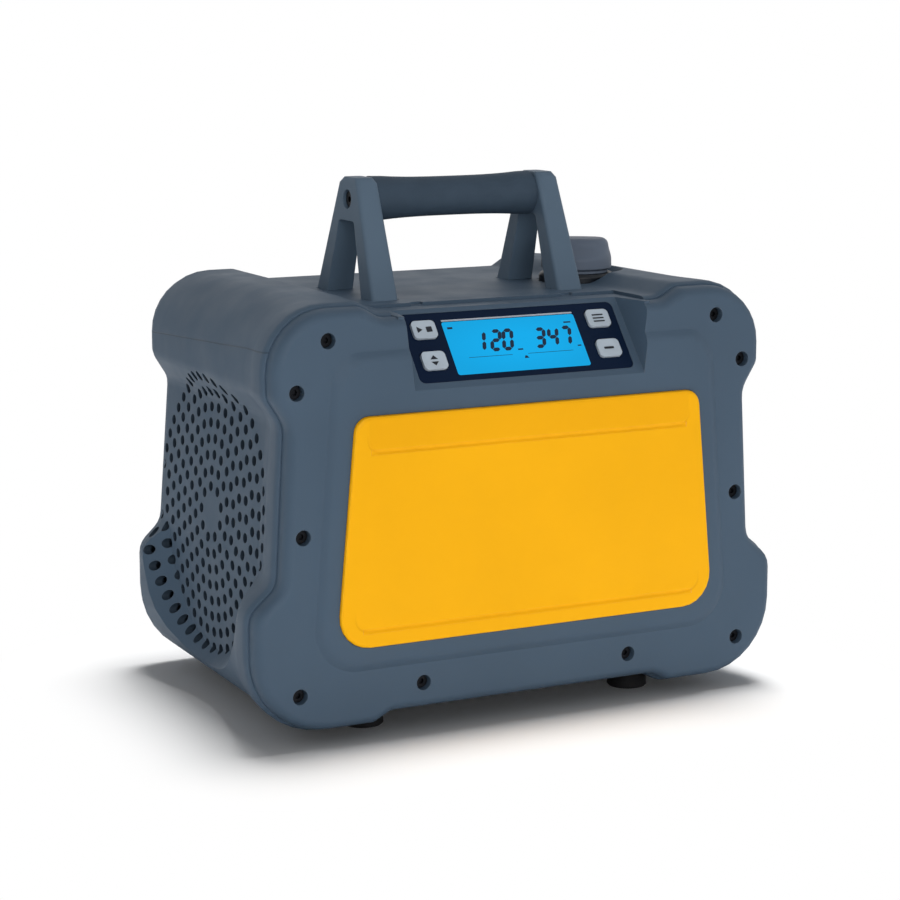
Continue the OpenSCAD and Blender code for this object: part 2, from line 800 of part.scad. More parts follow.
// Circuit board behind the console with the switch under each key
module control_board() {
    color("#1f6b3a") on_console() {
        translate([0, slope_len / 2 - 1, board_w - 1.6]) linear_extrude(1.6) pad2(142, 46, 2);
        for (side = [-1, 1]) for (v = [key_low_v, key_top_v])
            translate([side * key_x, v, board_w - eps]) {
                translate([-3, -3, 0]) cube([6, 6, 2.5]);
                cylinder(r = 1.7, h = switch_top - board_w);
            }
        for (p = [[-40, -12], [-10, -14], [25, -12], [45, 6], [-35, 10]])
            translate([p.x, slope_len / 2 + p.y, board_w - 4.5]) translate([-6, -5, 0]) cube([12, 10, 3]);
    }
}

// Key cap with a collar behind the console and a stem to its switch
module key(side, v) {
    color("#c9ccd1") at_key(side, v) {
        difference() {
            translate([0, 0, -console_wall - 1.8]) linear_extrude(console_wall + 3) key_outline(0);
            translate([0, 0, 1.2 + 38.9]) sphere(r = 39.4, $fn = 96);
        }
        translate([0, 0, -console_wall - key_play - 1.5]) linear_extrude(1.5) key_outline(1.2);
        translate([0, 0, switch_top + key_travel + 0.1])
            cylinder(r = 2.2, h = -console_wall - key_play - 1 - switch_top - key_travel - 0.1);
    }
}
module key_upper_left() {
    key(-1, key_top_v);
}
module key_lower_left() {
    key(-1, key_low_v);
}
module key_upper_right() {
    key(1, key_top_v);
}
module key_lower_right() {
    key(1, key_low_v);
}

// One bracket: an A with two legs that lean together; its outer face leans in towards the apex
module bracket_slice(x, z, d, w, r) {
    translate([x, handle_y, z]) linear_extrude(0.5) pad2(w, d, r);
}
module bracket(side) {
    color(case_grey) difference() {
        hull() {
            bracket_slice(0, z_top - pocket, handle_base_d, leg_w, 3);
            bracket_slice(side * (apex_w - leg_w) / 2, handle_h - 4, apex_d, apex_w, 3);
            bracket_slice(side * (apex_w - leg_w) / 2, handle_h - 0.5, apex_d - 8, apex_w - 3, 3);
        }
        apex_bores(side);
        for (y = foot_spots) translate([0, y, z_top - 5]) cylinder(d = bracket_screw_d, h = bracket_bite + 5.5);
        across(-leg_w, leg_w) polygon(rounded([
            [handle_y - window_foot / 2, z_top - 10, 1], [handle_y + window_foot / 2, z_top - 10, 1],
            [handle_y + window_top / 2, apex_low, 3], [handle_y - window_top / 2, apex_low, 3]
        ]));
    }
}
module apex_bores(side) {
    rotate([0, 0, 0]) {
        bar_x(handle_y, grip_z, -leg_w, leg_w, 3.2);
        x0 = side > 0 ? leg_w / 2 - 7.5 : -leg_w / 2 - 6.5;
        bar_x(handle_y, grip_z, x0, x0 + 14, 6);
        x1 = side > 0 ? -leg_w / 2 - 1 : leg_w / 2 - 5;
        bar_x(handle_y, grip_z, x1, x1 + 6, core_r + 0.1);
    }
}
module handle_bracket_left() {
    translate([-leg_x, 0, 0]) bracket(-1);
}
module handle_bracket_right() {
    translate([leg_x, 0, 0]) bracket(1);
}

// Grip: a turned sleeve, a little thicker towards its ends
module handle_grip() {
    half = handle_gap_w / 2;
    steps = 14;
    outer = [
        for (k = [0:steps])
            let (t = 2 * k / steps - 1)
            [grip_r + 2.2 * pow(abs(t), 3) - (abs(t) > 0.99 ? 0.6 : 0), half * t]
    ];
    color(dark_grey) translate([0, handle_y, grip_z]) rotate([0, 90, 0]) difference() {
        rotate_extrude() polygon(concat([[core_r + 0.05, -half]], outer, [[core_r + 0.05, half]]));
    }
}
module handle_core() {
    half = handle_gap_w / 2 + 5;
    color(steel) difference() {
        bar_x(handle_y, grip_z, -half, half, core_r);
        for (s = [-1, 1]) bar_x(handle_y, grip_z, s * half - 16, s * half + 16, 2.5);
    }
}
module apex_screws() {
    color(black) for (s = [-1, 1]) {
        seat = apex_seat;
        difference() {
            union() {
                bar_x(handle_y, grip_z, s > 0 ? seat : -seat - 3, s > 0 ? seat + 3 : -seat, 5);
                bar_x(handle_y, grip_z, s > 0 ? seat - 20 : -seat, s > 0 ? seat : -seat + 20, 2.45);
            }
            bar_x(handle_y, grip_z, s > 0 ? seat + 1.2 : -seat - 4, s > 0 ? seat + 4 : -seat - 1.2, 2);
        }
    }
}
module bracket_screws() {
    color(steel) for (s = [-1, 1]) for (y = foot_spots) translate([s * leg_x, y, 0]) {
        translate([0, 0, z_top - pad_t - 4]) cylinder(d = 9, h = 4);
        translate([0, 0, z_top - pad_t - eps]) cylinder(d = bracket_screw_d - 0.04, h = pad_t + bracket_bite);
    }
}

// Valve knob: a tapered skirt with a raised finger bar, on a black dial ring
module dial_ring() {
    color(black) translate([knob_x, knob_y, knob_seat_z]) rotate_extrude()
        polygon([[stem_r + 0.3, 0], [knob_r + 1.3, 0], [knob_r + 1.3, ring_h - 2], [knob_r, ring_h - 0.3],
            [stem_r + 0.3, ring_h - 0.3]]);
}
module valve_knob() {
    z0 = knob_seat_z + ring_h;
    color("#4a4d57") translate([knob_x, knob_y, z0]) difference() {
        union() {
            rotate_extrude() polygon([
                [0, 0], [knob_r, 0], [knob_r - 1.2, knob_h * 0.42], [knob_r - 2.2, knob_h * 0.5],
                [knob_r - 4, knob_h * 0.53], [0, knob_h * 0.53]
            ]);
            hull() {
                translate([0, 0, 2]) rotate(-32) linear_extrude(1) pad2(2 * knob_r - 3, 23, 9);
                translate([0, 0, knob_h - 8]) rotate(-32) linear_extrude(1) pad2(2 * knob_r - 7, 18, 8);
                translate([0, 0, knob_h - 4.5]) rotate(-32) linear_extrude(0.5) pad2(2 * knob_r - 9, 16, 7);
                translate([0, 0, knob_h - 1]) rotate(-32) linear_extrude(1 - ring_h / 100) pad2(2 * knob_r - 16, 10, 4.5);
            }
        }
        translate([0, 0, -1]) cylinder(r = stem_r, h = knob_h * 0.5);
    }
}
module valve_stem() {
    top = knob_seat_z + ring_h - 1 + knob_h * 0.5;
    color(steel) translate([knob_x, knob_y, 0]) {
        translate([0, 0, stem_low]) cylinder(r = stem_r, h = top - stem_low);
    }
}

// Brass block that joins the valve, the two ports and the tubes
module manifold_block() {
    color(brass) difference() {
        box([knob_x - block_half.x, knob_y - block_half.y, block_z0], [block_x1, knob_y + block_half.y, block_z1]);
        translate([knob_x, knob_y, stem_low]) cylinder(r = stem_r + stem_gap, h = 60);
        for (y = port_y) bar_x(y, port_z, knob_x + 4, block_x1 + 1, 3);
        for (y = port_y) bar_x(y, port_z, block_x1 - 6, block_x1 + 1, port_neck_r);
        for (y = port_y) translate([knob_x, y, block_z0 - 1]) cylinder(r = tube_r + tube_gap, h = 9);
        for (y = port_y) translate([knob_x + 12, y, block_z1 - 7]) cylinder(r = 5, h = 8);
    }
}

// Flare port: neck in the block, hex shoulder on the housing, threaded end with its cone
module port(y) {
    neck_end = port_face;
    translate([0, y, port_z]) rotate([0, 90, 0]) difference() {
        union() {
            translate([0, 0, block_x1 - 6]) cylinder(r = port_neck_r, h = neck_end - block_x1 + 6 + eps);
            translate([0, 0, neck_end]) cylinder(r = 11, h = 5, $fn = 6);
            translate([0, 0, neck_end + 5 - eps]) cylinder(r = port_r, h = port_len + eps);
            translate([0, 0, neck_end + 5 + port_len - eps])
                cylinder(r1 = port_r, r2 = port_r - 2.6, h = 2.6);
        }
        translate([0, 0, block_x1 - 10]) cylinder(r = 2.6, h = neck_end - block_x1 + port_len + 20);
    }
}
module inlet_port() {
    color(brass) port(port_y[0]);
}
module outlet_port() {
    color(brass) port(port_y[1]);
}
module pressure_sensors() {
    color(steel) for (y = port_y) translate([knob_x + 12, y, block_z1 - 7]) {
        cylinder(r = 5, h = 7 + eps);
        translate([0, 0, 7]) cylinder(r = 8, h = 6, $fn = 6);
        translate([0, 0, 13 - eps]) cylinder(r = 6.5, h = 14);
        translate([0, 0, 27 - eps]) cylinder(r = 4, h = 5);
    }
}

// Compressor and motor on one foot plate, held on four rubber mounts
module mounting_plate() {
    color(steel) difference() {
        box([coil_x0 + coil_t, knob_y - plate_half, floor_z], [drive_x + 60, knob_y + plate_half, floor_z + plate_t]);
        for (p = mount_spots) translate([p.x, p.y, floor_z - 1]) cylinder(r = 2.6, h = 10);
    }
}
module rubber_mounts() {
    color(black) for (p = mount_spots) translate([p.x, p.y, floor_z + plate_t]) rotate_extrude()
        polygon([[0, 0], [9, 0], [9, 3], [7, mount_h / 2], [9, mount_h - 3], [9, mount_h], [0, mount_h]]);
}
module compressor() {
    color("#8d939b") difference() {
        union() {
            box([drive_x - 54, case_y[0], deck_z], [drive_x + 54, knob_y + 64 * deep, deck_z + deck_t]);
            slab(case_y[0], case_y[1]) translate([drive_x, drive_z]) pad2(76, 76, 14);
            for (s = [-1, 1])
                box([drive_x + s * 24 - 6, case_y[0] + 6, deck_z + deck_t - eps],
                    [drive_x + s * 24 + 6, case_y[1] - 6, drive_z - 30]);
            for (s = [-1, 1]) for (k = [0:4])
                bar_x(head_y, drive_z, s > 0 ? drive_x + 36 + k * 6 : drive_x - 39 - k * 6,
                    s > 0 ? drive_x + 39 + k * 6 : drive_x - 36 - k * 6, 29);
            bar_x(head_y, drive_z, drive_x - 68, drive_x + 68, 25);
        }
        bar_y(drive_x, drive_z, case_y[1] - 12, case_y[1] + 1, 20);
    }
}
module cylinder_heads() {
    color("#9aa0a8") for (s = [-1, 1]) difference() {
        union() {
            across(s > 0 ? drive_x + 68 : drive_x - 84, s > 0 ? drive_x + 84 : drive_x - 68)
                translate([head_y, drive_z]) pad2(58, 58, 8);
            translate([drive_x + s * 76, head_y, drive_z + 28]) cylinder(r = 7, h = 6);
        }
        translate([drive_x + s * 76, head_y, drive_z + 26]) cylinder(r = tube_r + tube_gap, h = 9);
        bar_y(drive_x + s * 76, drive_z - 12, head_y - 30, head_y - 21, tube_r + tube_gap);
    }
}
module drive_motor() {
    y0 = case_y[1];
    color("#5d636b") difference() {
        union() {
            bar_y(drive_x, drive_z, y0, y0 + motor_len, 42);
            bar_y(drive_x, drive_z, y0 - 11, y0 + eps, 19.9);
            for (k = [0:23]) translate([drive_x, 0, drive_z]) rotate([0, k * 15, 0])
                box([40, y0 + 8, -1.2], [46, y0 + motor_len - 8, 1.2]);
            box([drive_x - 18, y0 + 14, deck_z + deck_t], [drive_x + 18, y0 + motor_len - 10, drive_z - 38]);
        }
        bar_y(drive_x, drive_z, y0 + motor_len - 3, y0 + motor_len + 1, 30);
    }
}

// Axial fan: square frame with its stator and struts, and the rotor on its shaft
module fan_frame() {
    color(black) difference() {
        union() {
            difference() {
                across(fan_x0, fan_x1) translate([fan_y, fan_z]) pad2(2 * frame_half, 2 * frame_half, 12);
                bar_x(fan_y, fan_z, fan_x0 - 1, fan_x1 + 1, blade_r + fan_gap);
                for (s = [-1, 1]) for (t = [-1, 1])
                    bar_x(fan_y + s * (frame_half - 9), fan_z + t * (frame_half - 9), fan_x0 - 1, fan_x1 + 1, 2.2);
            }
            for (k = [0:3]) translate([0, fan_y, fan_z]) rotate([k * 90 + 45, 0, 0])
                box([fan_x1 - 5, -4, 20], [fan_x1, 4, blade_r + fan_gap + 2]);
            bar_x(fan_y, fan_z, fan_x1 - 8, fan_x1, hub_r);
        }
        bar_x(fan_y, fan_z, fan_x0, fan_x1 - 2.5, 4 + stem_gap);
    }
}
module fan_rotor() {
    x0 = fan_x0 + 2;
    x1 = fan_x1 - 9;
    color("#2a2c30") {
        bar_x(fan_y, fan_z, x0, x1, hub_r);
        bar_x(fan_y, fan_z, x1 - eps, fan_x1 - 3, 4);
        intersection() {
            bar_x(fan_y, fan_z, x0, x1, blade_r);
            for (k = [0:6]) translate([(x0 + x1) / 2, fan_y, fan_z]) rotate([k * 360 / 7, 0, 0])
                rotate([0, 0, 36]) translate([-1.2, -24, hub_r - 4]) cube([2.4, 48, blade_r]);
        }
    }
}

// Condenser: one long tube that winds through a stack of fins
module condenser() {
    color("#aab0b6") difference() {
        for (k = [0:fins])
            box([coil_x0, fan_y - coil_half + k * (2 * coil_half - 1) / fins, fan_z - coil_half],
                [coil_x0 + coil_t, fan_y - coil_half + k * (2 * coil_half - 1) / fins + 1, fan_z + coil_half]);
        for (k = [0:coil_rows - 1])
            bar_y(coil_mid, fan_z - coil_half + coil_pitch * (k + 0.5), coil_end, fan_y + coil_half + 2,
                tube_r + tube_gap);
    }
}
module condenser_tube() {
    turn = coil_half + 12;
    color(copper) pipe([
        [coil_mid, coil_end, fan_z - coil_half + coil_pitch / 2],
        for (k = [0:coil_rows - 2])
            let (s = k % 2 == 0 ? 1 : -1)
            each [for (j = [0, 1]) [coil_mid, fan_y + s * turn, fan_z - coil_half + coil_pitch * (k + j + 0.5)]],
        [coil_mid, coil_end, fan_z + coil_half - coil_pitch / 2]
    ], tube_r, tube_bend);
}
module condenser_bracket() {
    x0 = coil_x0 + coil_t;
    half = plate_half - 6 * deep;
    color(steel) difference() {
        union() {
            box([x0, knob_y - half, floor_z + plate_t], [x0 + 2, knob_y + half, fan_z - 20]);
            box([x0, knob_y - half, floor_z + plate_t], [x0 + 14, knob_y + half, floor_z + plate_t + 2]);
        }
        for (s = [-1, 1]) bar_x(knob_y + s * 25, fan_z - 52, x0 - 1, x0 + 3, 12);
    }
}

// Round tube along straight runs that turn in even bends
function unit3(v) = v / norm(v);
function bend_points(a, p, b, r, steps) =
    let (d1 = unit3(p - a), d2 = unit3(b - p), c = p + r * (d2 - d1))
    [for (k = [0:steps]) let (t = 90 * k / steps)
        [c - r * cos(t) * d2 + r * sin(t) * d1, unit3(cos(t) * d1 + sin(t) * d2)]];
function centre_line(path, r, steps) = [
    [path[0], unit3(path[1] - path[0])],
    for (k = [1:len(path) - 2]) each bend_points(path[k - 1], path[k], path[k + 1], r, steps),
    [path[len(path) - 1], unit3(path[len(path) - 1] - path[len(path) - 2])]
];
// Normals carried along the line without twist
function carry(line, k, n, done = []) =
    k == len(line) ? done :
    let (d = line[k][1], m = unit3(n - (n * d) * d))
    carry(line, k + 1, m, concat(done, [m]));
module pipe(path, r, bend, sides = 12, steps = 4) {
    line = centre_line(path, bend, steps);
    d0 = line[0][1];
    normals = carry(line, 0, abs(d0.z) > 0.5 ? [1, 0, 0] : [0, 0, 1]);
    loft([
        for (k = [0:len(line) - 1])
            let (n = normals[k], b = cross(n, line[k][1]))
            [for (j = [0:sides - 1]) line[k][0] + r * (cos(360 * j / sides) * n + sin(360 * j / sides) * b)]
    ]);
}
module suction_tube() {
    z = head_top + 17;
    color(copper) pipe([
        [knob_x, port_y[0], block_z0 + tube_in], [knob_x, port_y[0], z],
        [right_head, head_y, z], [right_head, head_y, head_top - tube_in]
    ], tube_r, tube_bend);
}
module crossover_tube() {
    y = head_y - 29 + tube_in;
    color(copper) pipe([
        [right_head, y, drive_z - 12], [right_head, y - 19, drive_z - 12],
        [left_head, y - 19, drive_z - 12], [left_head, y, drive_z - 12]
    ], tube_r, tube_bend);
}
module discharge_tube() {
    y = coil_end - 14;
    z = fan_z + coil_half - coil_pitch / 2;
    color(copper) pipe([
        [left_head, head_y, head_top - tube_in], [left_head, head_y, z],
        [left_head, y, z], [coil_mid, y, z], [coil_mid, coil_end, z]
    ], tube_r, tube_bend);
}
module liquid_tube() {
    x = left_head - 20;
    y = coil_end - 22;
    z = head_top + 21;
    low = fan_z - coil_half + coil_pitch / 2;
    color(copper) pipe([
        [knob_x, port_y[1], block_z0 + tube_in], [knob_x, port_y[1], z], [x, port_y[1], z], [x, y, z],
        [x, y, low], [coil_mid, y, low], [coil_mid, coil_end, low]
    ], tube_r, tube_bend);
}

// Power board on the rear cover's posts, with its heat sink towards the motor
module power_board() {
    color("#1f6b3a") {
        box([board_x - board_half, board_y, board_z], [board_x + board_half, board_y + 1.6, board_z + board_h]);
        for (p = [[-40, 20, 12], [-15, 24, 9], [20, 30, 14], [40, 70, 8]])
            bar_y(board_x + p.x, board_z + p.y, board_y + 1.6 - eps, board_y + 12, p.z / 2);
    }
}
module heat_sink() {
    color("#7c828a") {
        box([board_x - 40, board_y - 3, board_z + 40], [board_x + 40, board_y, board_z + 88]);
        for (k = [0:9]) box([board_x - 40 + k * 8.66, board_y - 10, board_z + 40],
            [board_x - 38 + k * 8.66, board_y - 3 + eps, board_z + 88]);
    }
}

// Power entry on the rear cover: socket, rocker switch and breaker
module power_inlet() {
    color(black) difference() {
        union() {
            slab(y_bay, y_bay + 2) translate([rear_x, inlet_z]) pad2(44, 29, 4);
            slab(y_bay - 22, y_bay + eps) translate([rear_x, inlet_z]) pad2(inlet_w, inlet_h, 2);
        }
        slab(y_bay - 15, y_bay + 3) translate([rear_x, inlet_z])
            polygon([[-12, -8], [12, -8], [12, 4], [8, 8], [-8, 8], [-12, 4]]);
    }
    color(steel) for (p = [[-7, -2], [0, 2], [7, -2]])
        box([rear_x + p.x - 1, y_bay - 15.5, inlet_z + p.y - 2], [rear_x + p.x + 1, y_bay - 5, inlet_z + p.y + 2]);
}
module switch_frame() {
    color(black) difference() {
        union() {
            slab(y_bay, y_bay + 2) translate([rear_x, switch_z]) pad2(switch_w + 4, switch_h + 4, 2);
            slab(y_bay - 24, y_bay + eps) translate([rear_x, switch_z]) pad2(switch_w, switch_h, 1);
        }
        slab(y_bay - 14, y_bay + 3) translate([rear_x, switch_z])
            square([2 * rocker_half.x + 0.6, 2 * rocker_half.y + 0.6], center = true);
        bar_x(y_bay - 5, switch_z, rear_x - rocker_half.x - 2, rear_x + rocker_half.x + 2, 1.55);
    }
}
module switch_rocker() {
    y0 = y_bay - 5;
    color("#2a2c30") {
        intersection() {
            across(rear_x - rocker_half.x, rear_x + rocker_half.x) polygon([
                [y0 - 5, switch_z - 5], [y0 + 2, switch_z - rocker_half.y + 0.8], [y0 + 5.4, switch_z - rocker_half.y + 0.8],
                [y0 + 4, switch_z], [y0 + 9, switch_z + rocker_half.y - 1.8], [y0 + 4, switch_z + rocker_half.y - 0.6],
                [y0 - 5, switch_z + 5]
            ]);
            bar_x(y0, switch_z, rear_x - 30, rear_x + 30, rocker_half.y - 0.1);
        }
        bar_x(y0, switch_z, rear_x - rocker_half.x - 1.8, rear_x + rocker_half.x + 1.8, 1.5);
    }
}
module breaker_body() {
    color(black) difference() {
        union() {
            bar_y(rear_x, breaker_z, y_bay - 26, y_bay + eps, breaker_r);
            bar_y(rear_x, breaker_z, y_bay, y_bay + 2, breaker_r + 2.5);
        }
        bar_y(rear_x, breaker_z, y_bay - 12, y_bay + 3, 4.3);
    }
}
module breaker_button() {
    color("#2a2c30") bar_y(rear_x, breaker_z, y_bay - 7.5, y_bay + 5, 4);
}

// Rubber feet with their screws
module rubber_feet() {
    color(black) for (sx = [-1, 1]) for (sy = [-1, 1])
        translate([sx * foot_pitch_x / 2, sy * foot_pitch_y / 2, 0]) rotate_extrude()
            polygon([
                [3, 5], [5.2, 5], [5.2, 0], [foot_r - 1, 0], [foot_r, 1], [foot_r - 0.8, z_low], [3, z_low]
            ]);
}
module foot_screws() {
    color(steel) for (sx = [-1, 1]) for (sy = [-1, 1])
        translate([sx * foot_pitch_x / 2, sy * foot_pitch_y / 2, 0]) {
            translate([0, 0, 2]) cylinder(r = 4, h = 3);
            translate([0, 0, 5 - eps]) cylinder(d = foot_screw_d - 0.04, h = z_low + wall - 1);
        }
}

main_housing();
front_cover();
rear_cover();
front_panel();
front_screws();
rear_screws();
console_overlay();
display_window();
display_module();
control_board();
key_upper_left();
key_lower_left();
key_upper_right();
key_lower_right();
handle_bracket_left();
handle_bracket_right();
handle_grip();
handle_core();
apex_screws();
bracket_screws();
valve_knob();
dial_ring();
valve_stem();
manifold_block();
inlet_port();
outlet_port();
pressure_sensors();
compressor();
cylinder_heads();
drive_motor();
mounting_plate();
rubber_mounts();
fan_frame();
fan_rotor();
condenser();
condenser_tube();
condenser_bracket();
suction_tube();
crossover_tube();
discharge_tube();
liquid_tube();
power_board();
heat_sink();
power_inlet();
switch_frame();
switch_rocker();
breaker_body();
breaker_button();
rubber_feet();
foot_screws();
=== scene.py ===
"""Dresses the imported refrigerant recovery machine: finishes, fine pieces, light, floor and camera.

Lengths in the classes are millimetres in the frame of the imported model: X to the right, Y to the back and Z up,
with the origin on the floor under the middle of the machine. Angles in their fields are degrees.
"""

import logging
import math
from dataclasses import dataclass
from enum import Enum

import bpy
import numpy as np
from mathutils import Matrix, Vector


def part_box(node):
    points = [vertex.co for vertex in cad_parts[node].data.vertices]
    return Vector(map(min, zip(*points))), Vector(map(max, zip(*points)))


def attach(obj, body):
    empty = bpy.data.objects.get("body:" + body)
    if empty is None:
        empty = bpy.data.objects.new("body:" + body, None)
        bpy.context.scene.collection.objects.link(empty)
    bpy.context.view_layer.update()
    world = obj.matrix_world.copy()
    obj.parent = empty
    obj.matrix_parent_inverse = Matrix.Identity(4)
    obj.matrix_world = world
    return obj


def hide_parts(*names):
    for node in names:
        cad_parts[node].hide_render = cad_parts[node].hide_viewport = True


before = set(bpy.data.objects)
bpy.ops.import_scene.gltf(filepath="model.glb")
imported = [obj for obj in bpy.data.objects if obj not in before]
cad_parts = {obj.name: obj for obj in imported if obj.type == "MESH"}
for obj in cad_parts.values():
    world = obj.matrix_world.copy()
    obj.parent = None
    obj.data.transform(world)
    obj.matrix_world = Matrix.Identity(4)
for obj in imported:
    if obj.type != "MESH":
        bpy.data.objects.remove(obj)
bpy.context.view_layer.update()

LOG = logging.getLogger("recovery_machine")
MM = 0.001

Socket = bpy.types.NodeSocket
Pair = tuple[float, float]
Triple = tuple[float, float, float]
Four = tuple[float, float, float, float]
Lamp = tuple[str, Triple, Triple, float, float]

NOISE_SPAN: Pair = (0.3, 0.7)
FULL: Pair = (0.0, 1.0)
WHITE: Four = (1.0, 1.0, 1.0, 1.0)


class Body(Enum):
    """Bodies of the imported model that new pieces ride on."""

    CHASSIS = "chassis"
    VALVE = "valve"
    KEY_UPPER_LEFT = "key_ul"
    KEY_LOWER_LEFT = "key_ll"
    KEY_UPPER_RIGHT = "key_ur"
    KEY_LOWER_RIGHT = "key_lr"
    ROCKER = "rocker"


class Slot(Enum):
    """Names of material slots for new pieces; no piece in this script takes one."""

    OVERLAY = "overlay"
    WINDOW = "window"
    DISPLAY = "display"
    KEYS = "keys"
    BLACK = "black"
    KNOB = "knob"
    BRASS = "brass"


class Receivers(Enum):
    """How a lamp's list of receivers treats the floor."""

    FLOOR_ONLY = "INCLUDE"
    ALL_BUT_FLOOR = "EXCLUDE"


def linear(code: str) -> Four:
    """The linear light of six hexadecimal digits for red, green and blue, with an alpha of 1."""
    seen = np.array([*bytes.fromhex(code)]) / 255.0
    return (*np.where(seen <= 0.04045, seen / 12.92, ((seen + 0.055) / 1.055) ** 2.4).tolist(), 1.0)


def toned(code: str, *factors: float, add: float = 0.0) -> Four:
    """The colour of a code, multiplied by one factor or by one for each channel, with some white added."""
    light = np.minimum(np.array(linear(code)[:3]) * factors + add, 1.0)
    return (*light.tolist(), 1.0)


def metres(lengths: tuple[float, ...]) -> tuple[float, ...]:
    """Millimetres as metres."""
    return tuple(v * MM for v in lengths)


@dataclass(frozen=True)
class Surface:
    """Points of a mesh, one row each, and the point numbers of its faces of four and of three sides."""

    points: np.ndarray
    quads: np.ndarray
    tris: np.ndarray

    def __add__(self, other: "Surface") -> "Surface":
        """Both surfaces as one mesh, with the second one's point numbers moved up."""
        moved = (other.points, other.quads + len(self.points), other.tris + len(self.points))
        return Surface(*map(np.vstack, zip((self.points, self.quads, self.tris), moved)))

    def outward(self) -> "Surface":
        """Turns the faces round where the enclosed volume comes out negative.

        Returns:
            The same closed surface with its faces pointing outwards.
        """
        q = self.quads
        tri = np.vstack([self.tris, q[:, [0, 1, 2]], q[:, [0, 2, 3]]])
        a, b, c = (self.points[tri[:, k]] for k in range(3))
        if np.einsum("ij,ij->", a, np.cross(b, c)) >= 0:
            return self
        return Surface(self.points, self.quads[:, ::-1], self.tris[:, ::-1])


@dataclass(frozen=True)
class Placement:
    """A flat frame of reference: an origin and three unit directions."""

    origin: Triple
    right: Triple
    up: Triple
    out: Triple

    def carry(self, surface: Surface) -> Surface:
        """The surface in the model's frame, where point = origin + x right + y up + z out."""
        points = surface.points @ np.array([self.right, self.up, self.out]) + np.array(self.origin)
        return Surface(points, surface.quads, surface.tris).outward()

    def shifted(self, x: float, y: float, z: float) -> "Placement":
        """The same frame moved along its own three directions."""
        step = np.array([x, y, z]) @ np.array([self.right, self.up, self.out])
        return Placement(tuple(np.array(self.origin) + step), self.right, self.up, self.out)


def skin(points: np.ndarray, wrap_u: bool = False, caps: bool = False) -> Surface:
    """Skins a grid of points; point (i, j) joins to (i + 1, j), (i + 1, j + 1) and (i, j + 1).

    Args:
        points: Grid of shape (rows, columns, 3) whose last column joins to the first.
        wrap_u: Joins the last row to the first.
        caps: Closes the first and the last row with a fan of faces around the row's mean point.

    Returns:
        The skinned grid with its faces pointing outwards.
    """
    rows, cols = points.shape[:2]
    number = np.arange(rows * cols).reshape(rows, cols)
    i = np.arange(rows if wrap_u else rows - 1)[:, None]
    j = np.arange(cols)[None, :]
    i2, j2 = (i + 1) % rows, (j + 1) % cols
    quads = np.stack([number[i, j], number[i, j2], number[i2, j2], number[i2, j]], axis=-1).reshape(-1, 4)
    flat = points.reshape(-1, 3)
    tris = np.zeros((0, 3), dtype=int)
    if caps:
        k, k2, n = j[0], j2[0], rows * cols
        first = np.stack([number[0, k2], number[0, k], np.full(cols, n)], axis=-1)
        last = np.stack([number[-1, k], number[-1, k2], np.full(cols, n + 1)], axis=-1)
        flat = np.vstack([flat, points[0].mean(axis=0), points[-1].mean(axis=0)])
        tris = np.vstack([first, last])
    return Surface(flat, quads, tris).outward()


def lifted(outline: np.ndarray, height: float) -> np.ndarray:
    """The corners of a flat outline at a height."""
    return np.insert(outline, 2, height, axis=1)


def prisms(outlines: list[np.ndarray], low: float, high: float) -> Surface:
    """Plates between two heights, as one surface; each outline is closed by fans around its mean point."""
    plates = [skin(np.stack([lifted(line, low), lifted(line, high)]), caps=True) for line in outlines]
    return sum(plates[1:], plates[0])


def boxes(*edges: Four) -> np.ndarray:
    """Outlines of rectangles, each given by its left, lower, right and upper edge; shape (boxes, 4, 2)."""
    return np.array(edges, dtype=float)[:, [[0, 1], [2, 1], [2, 3], [0, 3]]]


def rounded_box(width: float, height: float, radius: float, steps: int = 8) -> np.ndarray:
    """Corners of a rectangle with round corners: four quarter circles about the inset corners.

    Args:
        width: Full width.
        height: Full height.
        radius: Radius of the corners.
        steps: Points on each quarter circle.

    Returns:
        Points of shape (4 steps, 2), anticlockwise.
    """
    quarter = np.linspace(0.0, math.pi / 2, steps)
    angle = (quarter[None, :] + np.arange(4)[:, None] * math.pi / 2).reshape(-1)
    side = np.repeat(np.array([[1, 1], [-1, 1], [-1, -1], [1, -1]]), steps, axis=0)
    middle = side * (np.array([width, height]) / 2 - radius)
    return middle + radius * np.stack([np.cos(angle), np.sin(angle)], axis=-1)


def circle(radius: float, steps: int = 32) -> np.ndarray:
    """Points evenly round a circle, shape (steps, 2)."""
    angle = np.linspace(0.0, 2 * math.pi, steps, endpoint=False)
    return radius * np.stack([np.cos(angle), np.sin(angle)], axis=-1)


